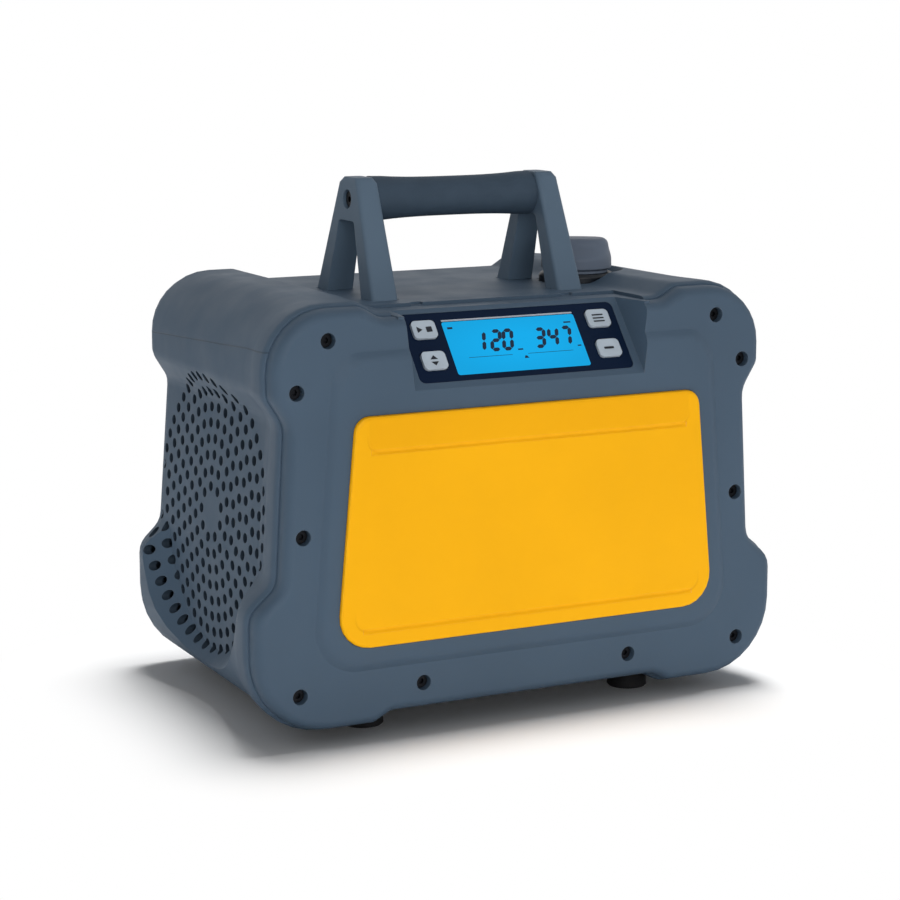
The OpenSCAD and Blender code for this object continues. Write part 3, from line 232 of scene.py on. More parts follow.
class Nodes:
    """A node tree with short calls for what the trees share."""

    def __init__(self, tree: bpy.types.NodeTree) -> None:
        """Takes the tree that the nodes go into."""
        self.tree = tree

    def feed(self, target: Socket, value: object) -> None:
        """Joins an output to an input, or sets the input to a constant.

        Args:
            target: The input.
            value: The output or the constant.
        """
        if isinstance(value, Socket):
            self.tree.links.new(value, target)
        else:
            target.default_value = value

    def node(self, kind: str, *inputs: object, **settings: object) -> bpy.types.Node:
        """Adds a node.

        Args:
            kind: Blender's name for the node.
            inputs: Outputs or constants for its first inputs.
            settings: Properties to set on it.

        Returns:
            The new node.
        """
        node = self.tree.nodes.new(kind)
        for key, value in settings.items():
            setattr(node, key, value)
        for target, value in zip(node.inputs, inputs):
            self.feed(target, value)
        return node

    def fill(self, node: bpy.types.Node, **inputs: object) -> bpy.types.Node:
        """Feeds inputs of a node by name.

        Args:
            node: The node.
            inputs: Outputs or constants; an underscore in a name stands for a space.

        Returns:
            The same node.
        """
        for key, value in inputs.items():
            self.feed(node.inputs[key.replace("_", " ")], value)
        return node

    def remap(self, source: Socket, old: Pair, new: Pair) -> Socket:
        """Maps one range of numbers onto another, with its ends held."""
        return self.node("ShaderNodeMapRange", source, *old, *new).outputs["Result"]

    def math(self, operation: str, first: object, second: object = 0.0) -> Socket:
        """Does one sum, by Blender's name for it, on one or two numbers or outputs."""
        return self.node("ShaderNodeMath", first, second, operation=operation).outputs["Value"]


class Shader(Nodes):
    """Node tree of one material about its Principled shader."""

    def __init__(self, name: str) -> None:
        """Starts a material with a Principled shader.

        Args:
            name: Name of the material.
        """
        self.material = bpy.data.materials.new(name)
        self.material.use_nodes = True
        super().__init__(self.material.node_tree)
        self.bsdf = self.tree.nodes["Principled BSDF"]
        self.place = self.node("ShaderNodeTexCoord").outputs["Object"]

    def set(self, **values: object) -> None:
        """Feeds inputs of the Principled shader by name."""
        self.fill(self.bsdf, **values)

    def axes(self, vector: Socket) -> tuple[Socket, ...]:
        """The three numbers of a vector."""
        return tuple(self.node("ShaderNodeSeparateXYZ", vector).outputs)

    def length(self, vector: Socket) -> Socket:
        """The length of a vector."""
        return self.node("ShaderNodeVectorMath", vector, operation="LENGTH").outputs["Value"]

    def squares(self, first: Socket, second: Socket) -> Socket:
        """The sum of two numbers' squares."""
        return self.math("ADD", self.math("MULTIPLY", first, first), self.math("MULTIPLY", second, second))

    def noise(self, scale: float, detail: float = 2.0, stretch: Triple = (1, 1, 1)) -> Socket:
        """Noise about 0.5 on the object's stretched coordinates; the scale counts features in a metre."""
        place = self.fill(self.node("ShaderNodeMapping", self.place), Scale=stretch).outputs["Vector"]
        return self.fill(self.node("ShaderNodeTexNoise", place), Scale=scale, Detail=detail).outputs["Fac"]

    def drift(self, scale: float, detail: float, new: Pair, old: Pair = NOISE_SPAN) -> Socket:
        """Noise of a scale and a detail, mapped from its old range onto a new one."""
        return self.remap(self.noise(scale, detail), old, new)

    def blend(self, factor: Socket, first: object, second: object) -> Socket:
        """Mixes two colours.

        Args:
            factor: 0 gives the first colour, 1 the second.
            first: A colour or an output that gives one.
            second: A colour or an output that gives one.

        Returns:
            The mixed colour.
        """
        node = self.node("ShaderNodeMix", factor, data_type="RGBA")
        for socket, value in zip([s for s in node.inputs if s.type == "RGBA"], (first, second)):
            self.feed(socket, value)
        return next(s for s in node.outputs if s.type == "RGBA")

    def edge(self, radius: float) -> tuple[Socket, Socket]:
        """Softens the edges of the shading and finds where they are.

        Args:
            radius: Radius of the softened edge in millimetres.

        Returns:
            The softened normal, and a number that rises from 0 on flat faces towards 1 at an edge.
        """
        soft = self.node("ShaderNodeBevel", radius * MM, samples=6).outputs["Normal"]
        plain = self.node("ShaderNodeNewGeometry").outputs["Normal"]
        dot = self.node("ShaderNodeVectorMath", soft, plain, operation="DOT_PRODUCT").outputs["Value"]
        return soft, self.remap(dot, (0.995, 0.8), FULL)

    def bump(self, height: Socket, depth: float, normal: Socket | None = None) -> None:
        """Gives the shader a fine relief.

        Args:
            height: Relief from 0 to 1.
            depth: Depth of the relief in millimetres.
            normal: Softened normal that the relief is added to.
        """
        node = self.fill(self.node("ShaderNodeBump"), Strength=1.0, Distance=depth * MM, Height=height)
        if normal is not None:
            self.fill(node, Normal=normal)
        self.set(Normal=node.outputs["Normal"])


@dataclass(frozen=True)
class Coat:
    """What all finishes share: the material's name and the way it is built."""

    name: str

    def build(self) -> bpy.types.Material:
        """Builds the finished material."""
        self.paint(shader := Shader(self.name))
        return shader.material

    def paint(self, shader: Shader) -> None:
        """Adds the finish's nodes; each finish has its own."""
        raise NotImplementedError


@dataclass(frozen=True)
class MouldedPlastic(Coat):
    """Moulded plastic: eroded grain, faint flow clouds, and edges painted a little lighter, as slight wear and as
    painted highlight.
    """

    colour: str
    roughness: float = 0.55
    grain: float = 1300.0  # features in a metre
    depth: float = 0.03  # of the grain
    cloud: float = 0.05  # share by which the colour drifts
    edge: float = 0.8  # radius of the softened edges, 0 for none
    # The lighter edges are painted highlight, with a little wear.
    wear_and_highlight: float = 0.12  # share of the lighter colour on the edges
    shine: float = 0.2  # level of the mirrored light

    def paint(self, shader: Shader) -> None:
        """Adds clouds, lighter edges of slight wear and painted highlight, what is pressed in, patchy roughness and
        grain.

        Args:
            shader: Material that is being built.
        """
        flow = shader.drift(11.0, 3.0, FULL)
        colour = shader.blend(flow, toned(self.colour, 1 - self.cloud), toned(self.colour, 1 + self.cloud))
        grain = shader.noise(self.grain, 3.0)
        normal = None
        if self.edge > 0:
            normal, rim = shader.edge(self.edge)
            # Painted highlight with slight wear: the edges are lightened where they would catch the light.
            edge_wear_and_highlight = shader.math("MULTIPLY", rim, shader.drift(90.0, 4.0, (0.4, 1.0), (0.35, 0.7)))
            edge_wear_and_highlight = shader.math("MULTIPLY", edge_wear_and_highlight, self.wear_and_highlight)
            colour = shader.blend(edge_wear_and_highlight, colour, toned(self.colour, 0.5, add=0.35))
        colour, grain = self.pressed(shader, colour, grain)
        patch = shader.drift(45.0, 4.0, (self.roughness - 0.05, self.roughness + 0.06))
        shader.set(Base_Color=colour, Roughness=patch, Specular_IOR_Level=self.shine)
        shader.bump(grain, self.depth, normal)

    def pressed(self, shader: Shader, colour: Socket, relief: Socket) -> tuple[Socket, Socket]:
        """Gives the colour and the relief after pressing; plain plastic has nothing pressed into it."""
        return colour, relief


@dataclass(frozen=True)
class TrayedPlastic(MouldedPlastic):
    """Moulded plastic with shallow trays that open upwards, each with a creased rim; the crease and the inside of a
    tray are darkened with painted shade.
    """

    # The tint of each tray is painted shade inside it.
    trays: tuple[tuple[float, ...], ...] = ()  # half width, lower edge, corner, height of fading and tint of each
    groove: float = 1.1  # half width of the crease
    press: float = 14.0  # depth of the crease, in depths of the grain
    # The darker colour in the crease is painted shade.
    shade: float = 0.45  # share of the darker colour in the crease
    fade_from: float = 2.0  # height above the lower edge at which the rim starts to fade

    def pressed(self, shader: Shader, colour: Socket, relief: Socket) -> tuple[Socket, Socket]:
        """Presses the trays; the rim is where the distance to a round-cornered box is nought.

        Args:
            shader: Material that is being built.
            colour: Colour of the plain plastic.
            relief: Relief of its grain.

        Returns:
            Colour with the painted shade of the trays, and relief with their creases.
        """
        x, _, z = shader.axes(shader.place)
        across = shader.math("ABSOLUTE", x)
        # Painted shade: the darker colour goes into the crease and, by the tint, inside each tray.
        dark = toned(self.colour, 0.82, 0.72, 0.6)
        for half, low, radius, fade, tint in self.trays:
            side = shader.math("SUBTRACT", across, (half - radius) * MM)
            below = shader.math("SUBTRACT", (low + radius) * MM, z)
            outside = shader.math("SQRT", shader.squares(*(shader.math("MAXIMUM", v) for v in (side, below))))
            inside = shader.math("MINIMUM", shader.math("MAXIMUM", side, below))
            distance = shader.math("SUBTRACT", shader.math("ADD", outside, inside), radius * MM)
            near = shader.remap(shader.math("ABSOLUTE", distance), (0.0, self.groove * MM), (1.0, 0.0))
            high = shader.remap(z, metres((low + self.fade_from, low + fade)), (1.0, 0.0))
            line = shader.math("MULTIPLY", near, high)
            within = shader.remap(distance, (0.0, -self.groove * MM), (0.0, tint))
            share = shader.math("MAXIMUM", shader.math("MULTIPLY", line, self.shade), within)
            colour = shader.blend(share, colour, dark)
            relief = shader.math("SUBTRACT", relief, shader.math("MULTIPLY", line, self.press))
        return colour, relief


@dataclass(frozen=True)
class SeamedPlastic(MouldedPlastic):
    """Moulded plastic with the mould's parting line along both sides, and painted shade on the walls of the fan
    holes.
    """

    height: float = 234.2  # of the line at the middle of the depth
    fall: float = 0.0585  # height that the line loses per millimetre towards the back
    beyond: float = 158.0  # distance from the middle plane at which the line starts
    groove: float = 0.6  # half width of the line
    press: float = 10.0  # depth of the line, in depths of the grain
    shade: float = 0.6  # share of the darker colour in the line
    fan_axis: Pair = (18.0, 122.5)
    fan_reach: float = 92.0  # radius of the field of holes
    # The darker colour on the walls of the holes is painted shade.
    dust_and_hole_shade: float = 0.85  # share of the darker colour on the walls of the holes

    def pressed(self, shader: Shader, colour: Socket, relief: Socket) -> tuple[Socket, Socket]:
        """Presses the parting line and paints shade on the walls of the holes.

        The line is where the height meets a plane that falls towards the back. The walls of the holes, which get
        painted shade, are the faces on the left, near the fan's axis, that look across that axis.

        Args:
            shader: Material that is being built.
            colour: Colour of the plain plastic.
            relief: Relief of its grain.

        Returns:
            Colour with the line and with painted shade in the holes, and relief with the line.
        """
        x, y, z = shader.axes(shader.place)
        level = shader.math("ADD", z, shader.math("MULTIPLY", y, self.fall))
        off = shader.math("ABSOLUTE", shader.math("SUBTRACT", level, self.height * MM))
        near = shader.remap(off, (0.0, self.groove * MM), (1.0, 0.0))
        far = shader.math("GREATER_THAN", shader.math("ABSOLUTE", x), self.beyond * MM)
        line = shader.math("MULTIPLY", near, far)
        # Painted shade on the walls of the fan holes, where little light gets in.
        facing, _, _ = shader.axes(shader.node("ShaderNodeNewGeometry").outputs["True Normal"])
        wall = shader.remap(shader.math("ABSOLUTE", facing), (0.1, 0.3), (self.dust_and_hole_shade, 0.0))
        offset = (shader.math("SUBTRACT", v, c * MM) for v, c in zip((y, z), self.fan_axis))
        within = shader.math("LESS_THAN", shader.squares(*offset), (self.fan_reach * MM) ** 2)
        left = shader.math("LESS_THAN", x, 0.0)
        hole_shade_share = shader.math("MULTIPLY", wall, shader.math("MULTIPLY", within, left))
        share = shader.math("MAXIMUM", hole_shade_share, shader.math("MULTIPLY", line, self.shade))
        colour = shader.blend(share, colour, toned(self.colour, 0.3))
        return colour, shader.math("SUBTRACT", relief, shader.math("MULTIPLY", line, self.press))


@dataclass(frozen=True)
class Film(Coat):
    """Printed film with a smooth gloss, a faint ripple and a fine dust of roughness."""

    colour: str
    roughness: float = 0.5
    shine: float = 0.2

    def paint(self, shader: Shader) -> None:
        """Adds a drifting tint, dust and ripple.

        Args:
            shader: Material that is being built.
        """
        tint = shader.blend(shader.drift(25.0, 2.0, FULL), linear(self.colour), toned(self.colour, 1.15))
        dust_and_hole_shade = shader.drift(700.0, 3.0, (self.roughness - 0.04, self.roughness + 0.1), (0.35, 0.75))
        shader.set(Base_Color=tint, Roughness=dust_and_hole_shade, Specular_IOR_Level=self.shine)
        shader.bump(shader.noise(120.0), 0.006)


@dataclass(frozen=True)
class Metal(Coat):
    """Machined or cast metal with tool marks and stains."""

    colour: str
    roughness: float
    marks: float  # features in a metre
    stretch: Triple = (1, 1, 1)
    depth: float = 0.01

    def paint(self, shader: Shader) -> None:
        """Adds stains and tool marks.

        Args:
            shader: Material that is being built.
        """
        stain = shader.drift(60.0, 5.0, FULL, (0.35, 0.7))
        marks = shader.noise(self.marks, 3.0, self.stretch)
        tint = shader.blend(stain, linear(self.colour), toned(self.colour, 0.8, 0.78, 0.76))
        patch = shader.remap(marks, NOISE_SPAN, (self.roughness - 0.08, self.roughness + 0.1))
        shader.set(Base_Color=tint, Roughness=patch, Metallic=1.0)
        shader.bump(marks, self.depth)


@dataclass(frozen=True)
class Rubber(Coat):
    """Soft rubber: dull, with a fine skin and a faint bloom of lighter dust."""

    colour: str
    roughness: float
    grain: float = 900.0

    def paint(self, shader: Shader) -> None:
        """Adds bloom, skin and soft edges.

        Args:
            shader: Material that is being built.
        """
        bloom = shader.drift(70.0, 5.0, (0.0, 0.3), (0.4, 0.75))
        grain = shader.noise(self.grain, 4.0)
        tint = shader.blend(bloom, linear(self.colour), toned(self.colour, 1.5, add=0.004))
        patch = shader.remap(grain, NOISE_SPAN, (self.roughness - 0.06, self.roughness + 0.1))
        shader.set(Base_Color=tint, Roughness=patch, Specular_IOR_Level=0.2)
        normal, _ = shader.edge(0.6)
        shader.bump(grain, 0.03, normal)


@dataclass(frozen=True)
class LitGlass(Coat):
    """Lit face of the liquid crystal display: a bright field that falls off from its centre to its rim."""

    colour: str
    rim: str
    centre: Triple
    unlit: str = "04202e"
    strength: float = 0.95
    spread: Triple = (19.0, 50.0, 50.0)  # fall-off in a metre along the three axes

    def paint(self, shader: Shader) -> None:
        """Adds the lit field with its fine cells.

        Args:
            shader: Material that is being built.
        """
        back = tuple(-c * MM * s for c, s in zip(self.centre, self.spread))
        field = shader.fill(shader.node("ShaderNodeMapping", shader.place, back), Scale=self.spread)
        fall = shader.remap(shader.length(field.outputs["Vector"]), (0.35, 1.15), FULL)
        cells = shader.drift(2600.0, 1.0, (0.0, 0.25))
        lit = shader.blend(shader.math("ADD", fall, cells), linear(self.colour), linear(self.rim))
        shader.set(Base_Color=linear(self.unlit), Roughness=0.35, Specular_IOR_Level=0.1)
        shader.set(Emission_Color=lit, Emission_Strength=self.strength)
        shader.bump(shader.noise(1500.0, 1.0), 0.004)


@dataclass(frozen=True)
class ClearPane(Coat):
    """Clear acrylic pane with a faint hardcoat ripple and a few specks."""

    def paint(self, shader: Shader) -> None:
        """Adds the clear body, specks and ripple.

        Args:
            shader: Material that is being built.
        """
        specks = shader.drift(500.0, 3.0, (0.02, 0.12), (0.6, 0.8))
        shader.set(Base_Color=(0.93, 0.97, 1.0, 1.0), IOR=1.12, Transmission_Weight=1.0, Roughness=specks)
        shader.bump(shader.noise(60.0, 1.0), 0.004)


@dataclass(frozen=True)
class CircuitBoard(Coat):
    """Solder-masked board with a maze of tracks under the mask."""

    mask: str
    track: str

    def paint(self, shader: Shader) -> None:
        """Adds the tracks under the mask.

        Args:
            shader: Material that is being built.
        """
        brick = shader.fill(shader.node("ShaderNodeTexBrick", shader.place), Scale=160.0, Mortar_Size=0.03)
        tint = shader.blend(brick.outputs["Fac"], linear(self.mask), linear(self.track))
        shader.set(Base_Color=tint, Roughness=shader.drift(300.0, 3.0, (0.3, 0.5)))
        shader.bump(brick.outputs["Fac"], 0.03)


class Finish(Enum):
    """Every finish of the machine."""

    SLEEVE = SeamedPlastic("slate_sleeve_plastic", "46586a")
    CASE = MouldedPlastic("slate_case_plastic", "46586a")
    BRACKET = MouldedPlastic("slate_bracket_plastic", "586b7d", 0.52, edge=0.9)
    # The panel's lighter rim is painted highlight, and its trays carry painted shade.
    PANEL = TrayedPlastic(
        "yellow_panel_plastic", "fcb60c", 0.45, 1600.0, 0.018, 0.03, 0.6, 0.4, 0.1,
        trays=((112.0, 178.7, 8.0, 12.0, 0.2), (121.0, 70.3, 9.0, 14.0, 0.0)),
    )
    OVERLAY = Film("navy_console_film", "091930", shine=0.06)
    KEY = MouldedPlastic("pale_key_cap", "b9c6d2", 0.45, 1800.0, 0.012, 0.03, 0.5, 0.1, 0.3)
    MARK = Film("dark_print", "20242c")
    # Pale print, also used for the painted highlight above the display.
    PALE_PRINT = Film("pale_print_and_highlight", "aeb4be")
    SEGMENT = Film("display_segment", "06203a", 0.4)
    SCREEN = LitGlass("lit_display", "00aef0", "00a4e2", (0.0, -99.0, 235.0))
    PANE = ClearPane("clear_pane")
    GRIP = Rubber("slate_grip_rubber", "384756", 0.66, 1200.0)
    KNOB = MouldedPlastic("grey_knob_plastic", "626d7d", 0.5, 1500.0)
    BLACK = MouldedPlastic("black_fitting_plastic", "17181a", 0.45, 1600.0, 0.02, 0.08, 0.4, 0.15, 0.3)
    # The dial ring's pale top edge is painted highlight.
    DIAL = MouldedPlastic("black_dial_plastic", "10161e", 0.42, 1600.0, 0.02, 0.05, 1.2, 0.5, 0.2)
    SCREW = Metal("blackened_screw_steel", "24262a", 0.42, 1200.0)
    RUBBER = Rubber("black_foot_rubber", "141416", 0.72)
    STEEL = Metal("zinc_plated_steel", "b9bcc0", 0.33, 1000.0)
    BRASS = Metal("turned_brass", "c8a04e", 0.28, 1600.0, (6.0, 1.0, 1.0))
    COPPER = Metal("drawn_copper_tube", "c77a52", 0.34, 800.0)
    ALLOY = Metal("cast_alloy", "9a9da1", 0.48, 500.0, depth=0.05)
    MOTOR = Metal("painted_motor_shell", "3c4046", 0.5, 700.0)
    FAN = MouldedPlastic("black_fan_plastic", "1b1c1e", 0.5, 1500.0, 0.02, 0.06, 0.0, 0.0, 0.3)
    BOARD = CircuitBoard("green_board", "14532d", "2b7a48")

    def material(self) -> bpy.types.Material:
        """The finish as a material, built once."""
        known = bpy.data.materials.get(self.value.name)
        return known if known is not None else self.value.build()


class SmoothShading:
    """Merges the loose triangles of a solid and shades its curves smooth up to an angle."""

    def __init__(self, angle: float) -> None:
        """Builds the node group that sets the sharp edges.

        Args:
            angle: Angle in degrees above which an edge stays sharp.
        """
        self.group = bpy.data.node_groups.new("smooth_up_to_an_angle", "GeometryNodeTree")
        for way in ("INPUT", "OUTPUT"):
            self.group.interface.new_socket("Geometry", in_out=way, socket_type="NodeSocketGeometry")
        nodes = Nodes(self.group)
        bend = nodes.node("GeometryNodeInputMeshEdgeAngle").outputs["Unsigned Angle"]
        sharp = nodes.node("FunctionNodeCompare", bend, math.radians(angle), operation="GREATER_THAN")
        normal = nodes.node("GeometryNodeSetMeshNormal", mode="SHARPNESS")
        nodes.fill(normal, Mesh=nodes.node("NodeGroupInput").outputs[0], Remove_Custom=True)
        nodes.fill(normal, Edge_Sharpness=sharp.outputs["Result"])
        nodes.node("NodeGroupOutput", normal.outputs["Mesh"])

    def apply(self, obj: bpy.types.Object) -> None:
        """Adds the modifiers to a solid.

        Args:
            obj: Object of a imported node.
        """
        weld = obj.modifiers.new("merge", "WELD")
        weld.merge_threshold = 2e-6
        obj.modifiers.new("smooth", "NODES").node_group = self.group
        flat = obj.modifiers.new("even", "WEIGHTED_NORMAL")
        flat.keep_sharp = True


def make_piece(
    name: str,
    surface: Surface,
    finish: Finish,
    body: Body,
    stands_for: tuple[str, ...] = (),
    smooth: float = 35.0,
) -> bpy.types.Object:
    """Puts a surface into the scene as a piece of the machine.

    Args:
        name: Name of the piece.
        surface: Its mesh in millimetres.
        finish: Its finish.
        body: Body that it rides on.
        stands_for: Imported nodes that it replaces.
        smooth: Angle in degrees up to which edges are shaded smooth.

    Returns:
        The new object.
    """
    mesh = bpy.data.meshes.new(name)
    mesh.from_pydata(surface.points * MM, [], surface.quads.tolist() + surface.tris.tolist())
    mesh.polygons.foreach_set("use_smooth", np.ones(len(mesh.polygons), dtype=bool))
    mesh.set_sharp_from_angle(angle=math.radians(smooth))
    mesh.materials.append(finish.material())
    mesh.update()
    obj = bpy.data.objects.new(name, mesh)
    bpy.context.scene.collection.objects.link(obj)
    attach(obj, body.value)
    if stands_for:
        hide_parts(*stands_for)
    LOG.info("%s: %d points on %s", name, len(surface.points), body.value)
    return obj


@dataclass
class Solids:
    """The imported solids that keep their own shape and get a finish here."""

    smooth_angle: float = 32.0

    def dress(self) -> None:
        """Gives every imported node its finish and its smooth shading."""
        shading = SmoothShading(self.smooth_angle)
        table = {
            Finish.SLEEVE: "main_housing",
            Finish.CASE: "front_cover rear_cover",
            Finish.BRACKET: "handle_bracket_left handle_bracket_right",
            Finish.PANEL: "front_panel",
            Finish.OVERLAY: "console_overlay",
            Finish.PANE: "display_window",
            Finish.SCREEN: "display_module",
            Finish.KEY: "key_upper_left key_lower_left key_upper_right key_lower_right",
            Finish.GRIP: "handle_grip",
            Finish.KNOB: "valve_knob",
            Finish.DIAL: "dial_ring",
            Finish.BLACK: "power_inlet switch_frame switch_rocker breaker_body breaker_button",
            Finish.SCREW: "front_screws rear_screws apex_screws",
            Finish.RUBBER: "rubber_feet rubber_mounts",
            Finish.STEEL: "handle_core bracket_screws valve_stem pressure_sensors mounting_plate foot_screws "
            "condenser_bracket",
            Finish.BRASS: "manifold_block inlet_port outlet_port",
            Finish.COPPER: "condenser_tube suction_tube crossover_tube discharge_tube liquid_tube",
            Finish.ALLOY: "compressor cylinder_heads condenser heat_sink",
            Finish.MOTOR: "drive_motor",
            Finish.FAN: "fan_frame fan_rotor",
            Finish.BOARD: "control_board power_board",
        }
        for finish, names in table.items():
            for name in names.split():
                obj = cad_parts[name]
                obj.data.materials.clear()
                obj.data.materials.append(finish.material())
                shading.apply(obj)
                LOG.info("%s: %s", name, finish.value.name)


CONSOLE_TILT = math.radians(39.0)
CONSOLE = Placement(
    (0.0, -114.5, 216.0),
    (1.0, 0.0, 0.0),
    (0.0, math.sin(CONSOLE_TILT), math.cos(CONSOLE_TILT)),
    (0.0, -math.cos(CONSOLE_TILT), math.sin(CONSOLE_TILT)),
)


@dataclass
class Readout:
    """The display's lit face, a thin plate over the overlay's opening, with its digits and signs."""

    face: float = -0.3  # distance of the overlay's top from the console's plane
    middle: float = 24.2  # distance of the display's middle up the slope
    across: float = -1.55  # distance of its middle to the right
    width: float = 92.5
    height: float = 37.6
    corner: float = 1.6
    glass: float = 0.14  # thickness of the lit face
    ink: Pair = (0.02, 0.04)  # depth of the signs in the lit face, and height above it
    slant: float = 15.0  # lean of the digits
    low: float = -2.9  # lower edge of the digits
    wide: float = 5.5
    stroke: float = 2.6
    # Sign, left edge and height of each digit.
    digits: tuple[tuple[str, float, float], ...] = (
        ("1", -28.6, 13.0), ("2", -17.6, 13.0), ("0", -9.4, 13.0),
        ("3", 13.2, 12.2), ("4", 22.4, 12.2), ("7", 31.6, 12.2),
    )
    # Edges of the two base lines and of the small signs, then the corners of the pointer.
    lines: tuple[Four, ...] = (
        (-37, -7.4, -7, -7.1), (4, -7.4, 36, -7.1), (-45, 13.6, -41.5, 15.0),
        (-2.0, -4.4, 1.6, -3.4), (36, 12.6, 41, 13.6), (40.2, -4.6, 42.8, -3.7),
    )
    pointer: tuple[Pair, ...] = ((0.6, -10.4), (3.8, -10.4), (2.6, -8.6), (1.4, -8.6))

    SEGMENTS = {"0": "abcdef", "1": "bc", "2": "abged", "3": "abgcd", "4": "fgbc", "7": "abc"}

    def digit(self, sign: str, left: float, tall: float) -> np.ndarray:
        """Outlines of one digit's lit segments: six-sided bars on a slanted frame of seven places.

        Args:
            sign: The digit.
            left: Left edge.
            tall: Height of the digit.

        Returns:
            Outlines of shape (segments, 6, 2).
        """
        h, w, t = tall / 2, self.wide / 2, self.stroke / 2
        gap = 0.06 * self.stroke
        flat, upright = w - gap, h / 2 - gap
        place = {
            "a": (0, h, flat, 0), "g": (0, 0, flat, 0), "d": (0, -h, flat, 0),
            "f": (-w, h / 2, upright, 1), "b": (w, h / 2, upright, 1),
            "e": (-w, -h / 2, upright, 1), "c": (w, -h / 2, upright, 1),
        }
        rows = np.array([place[k] for k in self.SEGMENTS[sign]], dtype=float)
        half = rows[:, 2:3]
        along = np.hstack([-half, -half + t, half - t, half, half - t, -half + t])
        across = np.array([[0, t, t, 0, -t, -t]]) * np.ones_like(half)
        turned = rows[:, 3:4] > 0.5
        x = np.where(turned, across, along) + rows[:, 0:1]
        y = np.where(turned, along, across) + rows[:, 1:2]
        x = x + math.tan(math.radians(self.slant)) * y
        return np.stack([x + left + w, y + self.low + h], axis=-1)

    def build(self) -> bpy.types.Object:
        """Builds the lit face, and on it the digits, the base lines and the small signs.

        Returns:
            The signs as one piece.
        """
        place = CONSOLE.shifted(0, self.middle, self.face)
        outline = rounded_box(self.width, self.height, self.corner) + [self.across, 0.0]
        field = place.carry(prisms([outline], 0.0, self.glass))
        make_piece("display_face", field, Finish.SCREEN, Body.CHASSIS)
        digits = np.concatenate([self.digit(*row) for row in self.digits])
        signs = [*digits, *boxes(*self.lines), np.array(self.pointer)]
        plates = place.carry(prisms(signs, self.glass - self.ink[0], self.glass + self.ink[1]))
        return make_piece("display_readout", plates, Finish.SEGMENT, Body.CHASSIS)


@dataclass
class Console:
    """Fine pieces of the console: pane, a pale strip above the display that is painted highlight, and signs on the
    keys.
    """

    pane_size: Triple = (91.6, 38.6, 2.0)  # width, height and corner radius
    pane_v: float = 24.5  # distance of the pane's middle up the slope
    pane_span: Pair = (-4.3, -3.1)  # lower and upper face
    # The pale line is painted highlight along the top bevel of the display window.
    line: Four = (-47.4, 43.5, 44.2, 44.6)  # left, lower, right and upper edge of the pale line
    highlight_span: Pair = (-0.32, -0.2)
    key_x: float = 61.0  # distance of the keys from the middle
    key_v: Pair = (16.3, 38.2)  # distances of their two rows up the slope
    dish_r: float = 39.4  # radius of the hollow in a key's top
    dish_low: float = 0.7  # height of the hollow's lowest point
    print_thick: float = 0.04
    print_lift: float = 0.015  # distance of a sign from the key

    def pane(self) -> bpy.types.Object:
        """The clear pane in the overlay's opening, under the lit face."""
        plate = CONSOLE.shifted(0, self.pane_v, 0).carry(prisms([rounded_box(*self.pane_size)], *self.pane_span))
        return make_piece("display_pane", plate, Finish.PANE, Body.CHASSIS, ("display_window",))

    def bevel_highlight(self) -> bpy.types.Object:
        """The pale strip over the display: painted highlight on the top bevel of the window."""
        plate = CONSOLE.carry(prisms(boxes(self.line), *self.highlight_span))
        return make_piece("display_bevel_highlight", plate, Finish.PALE_PRINT, Body.CHASSIS)

    def key_sign(self, name: str, body: Body, side: int, row: int, plates: list[np.ndarray]) -> bpy.types.Object:
        """Prints a sign on a key's hollow top; a point's height follows the sphere of the hollow.

        Args:
            name: Name of the piece.
            body: Body of the key.
            side: -1 for the left keys and 1 for the right ones.
            row: 0 for the lower keys and 1 for the upper ones.
            plates: Outlines of the sign's plates.

        Returns:
            The sign as one piece.
        """
        flat = prisms(plates, 0.0, self.print_thick)
        x, y, z = flat.points.T
        lift = self.dish_low + self.dish_r - np.sqrt(self.dish_r ** 2 - x ** 2 - y ** 2)
        shaped = Surface(np.stack([x, y, z + lift + self.print_lift], axis=-1), flat.quads, flat.tris)
        placed = CONSOLE.shifted(side * self.key_x, self.key_v[row], 0).carry(shaped)
        return make_piece(name, placed, Finish.MARK, body)

    @staticmethod
    def bar(width: float, y: float, height: float) -> np.ndarray:
        """Outline of a flat bar at a height above the key's middle."""
        return rounded_box(width, height, 0.3, 3) + [0.0, y]

    @staticmethod
    def arrow(y: float, half: float) -> np.ndarray:
        """Outline of an arrow head about a height; a negative half height points it down."""
        corners = np.array([[-2.6, y - half], [2.6, y - half], [0.0, y + half]])
        return corners if half > 0 else corners[::-1]

    def build(self) -> None:
        """Builds all fine pieces of the console."""
        self.pane()
        self.bevel_highlight()
        play = np.array([[-5.0, -2.2], [-1.2, 0.0], [-5.0, 2.2]])
        stop = rounded_box(3.8, 3.8, 0.4, 3) + [3.2, 0.0]
        arrows = [self.arrow(2.2, 1.4), self.arrow(-2.2, -1.4)]
        rows = [self.bar(8.0, y, 1.0) for y in (2.3, 0.0, -2.3)]
        self.key_sign("key_sign_run", Body.KEY_UPPER_LEFT, -1, 1, [play, stop])
        self.key_sign("key_sign_step", Body.KEY_LOWER_LEFT, -1, 0, arrows)
        self.key_sign("key_sign_list", Body.KEY_UPPER_RIGHT, 1, 1, rows)
        self.key_sign("key_sign_enter", Body.KEY_LOWER_RIGHT, 1, 0, [self.bar(7.0, 0.0, 1.6)])


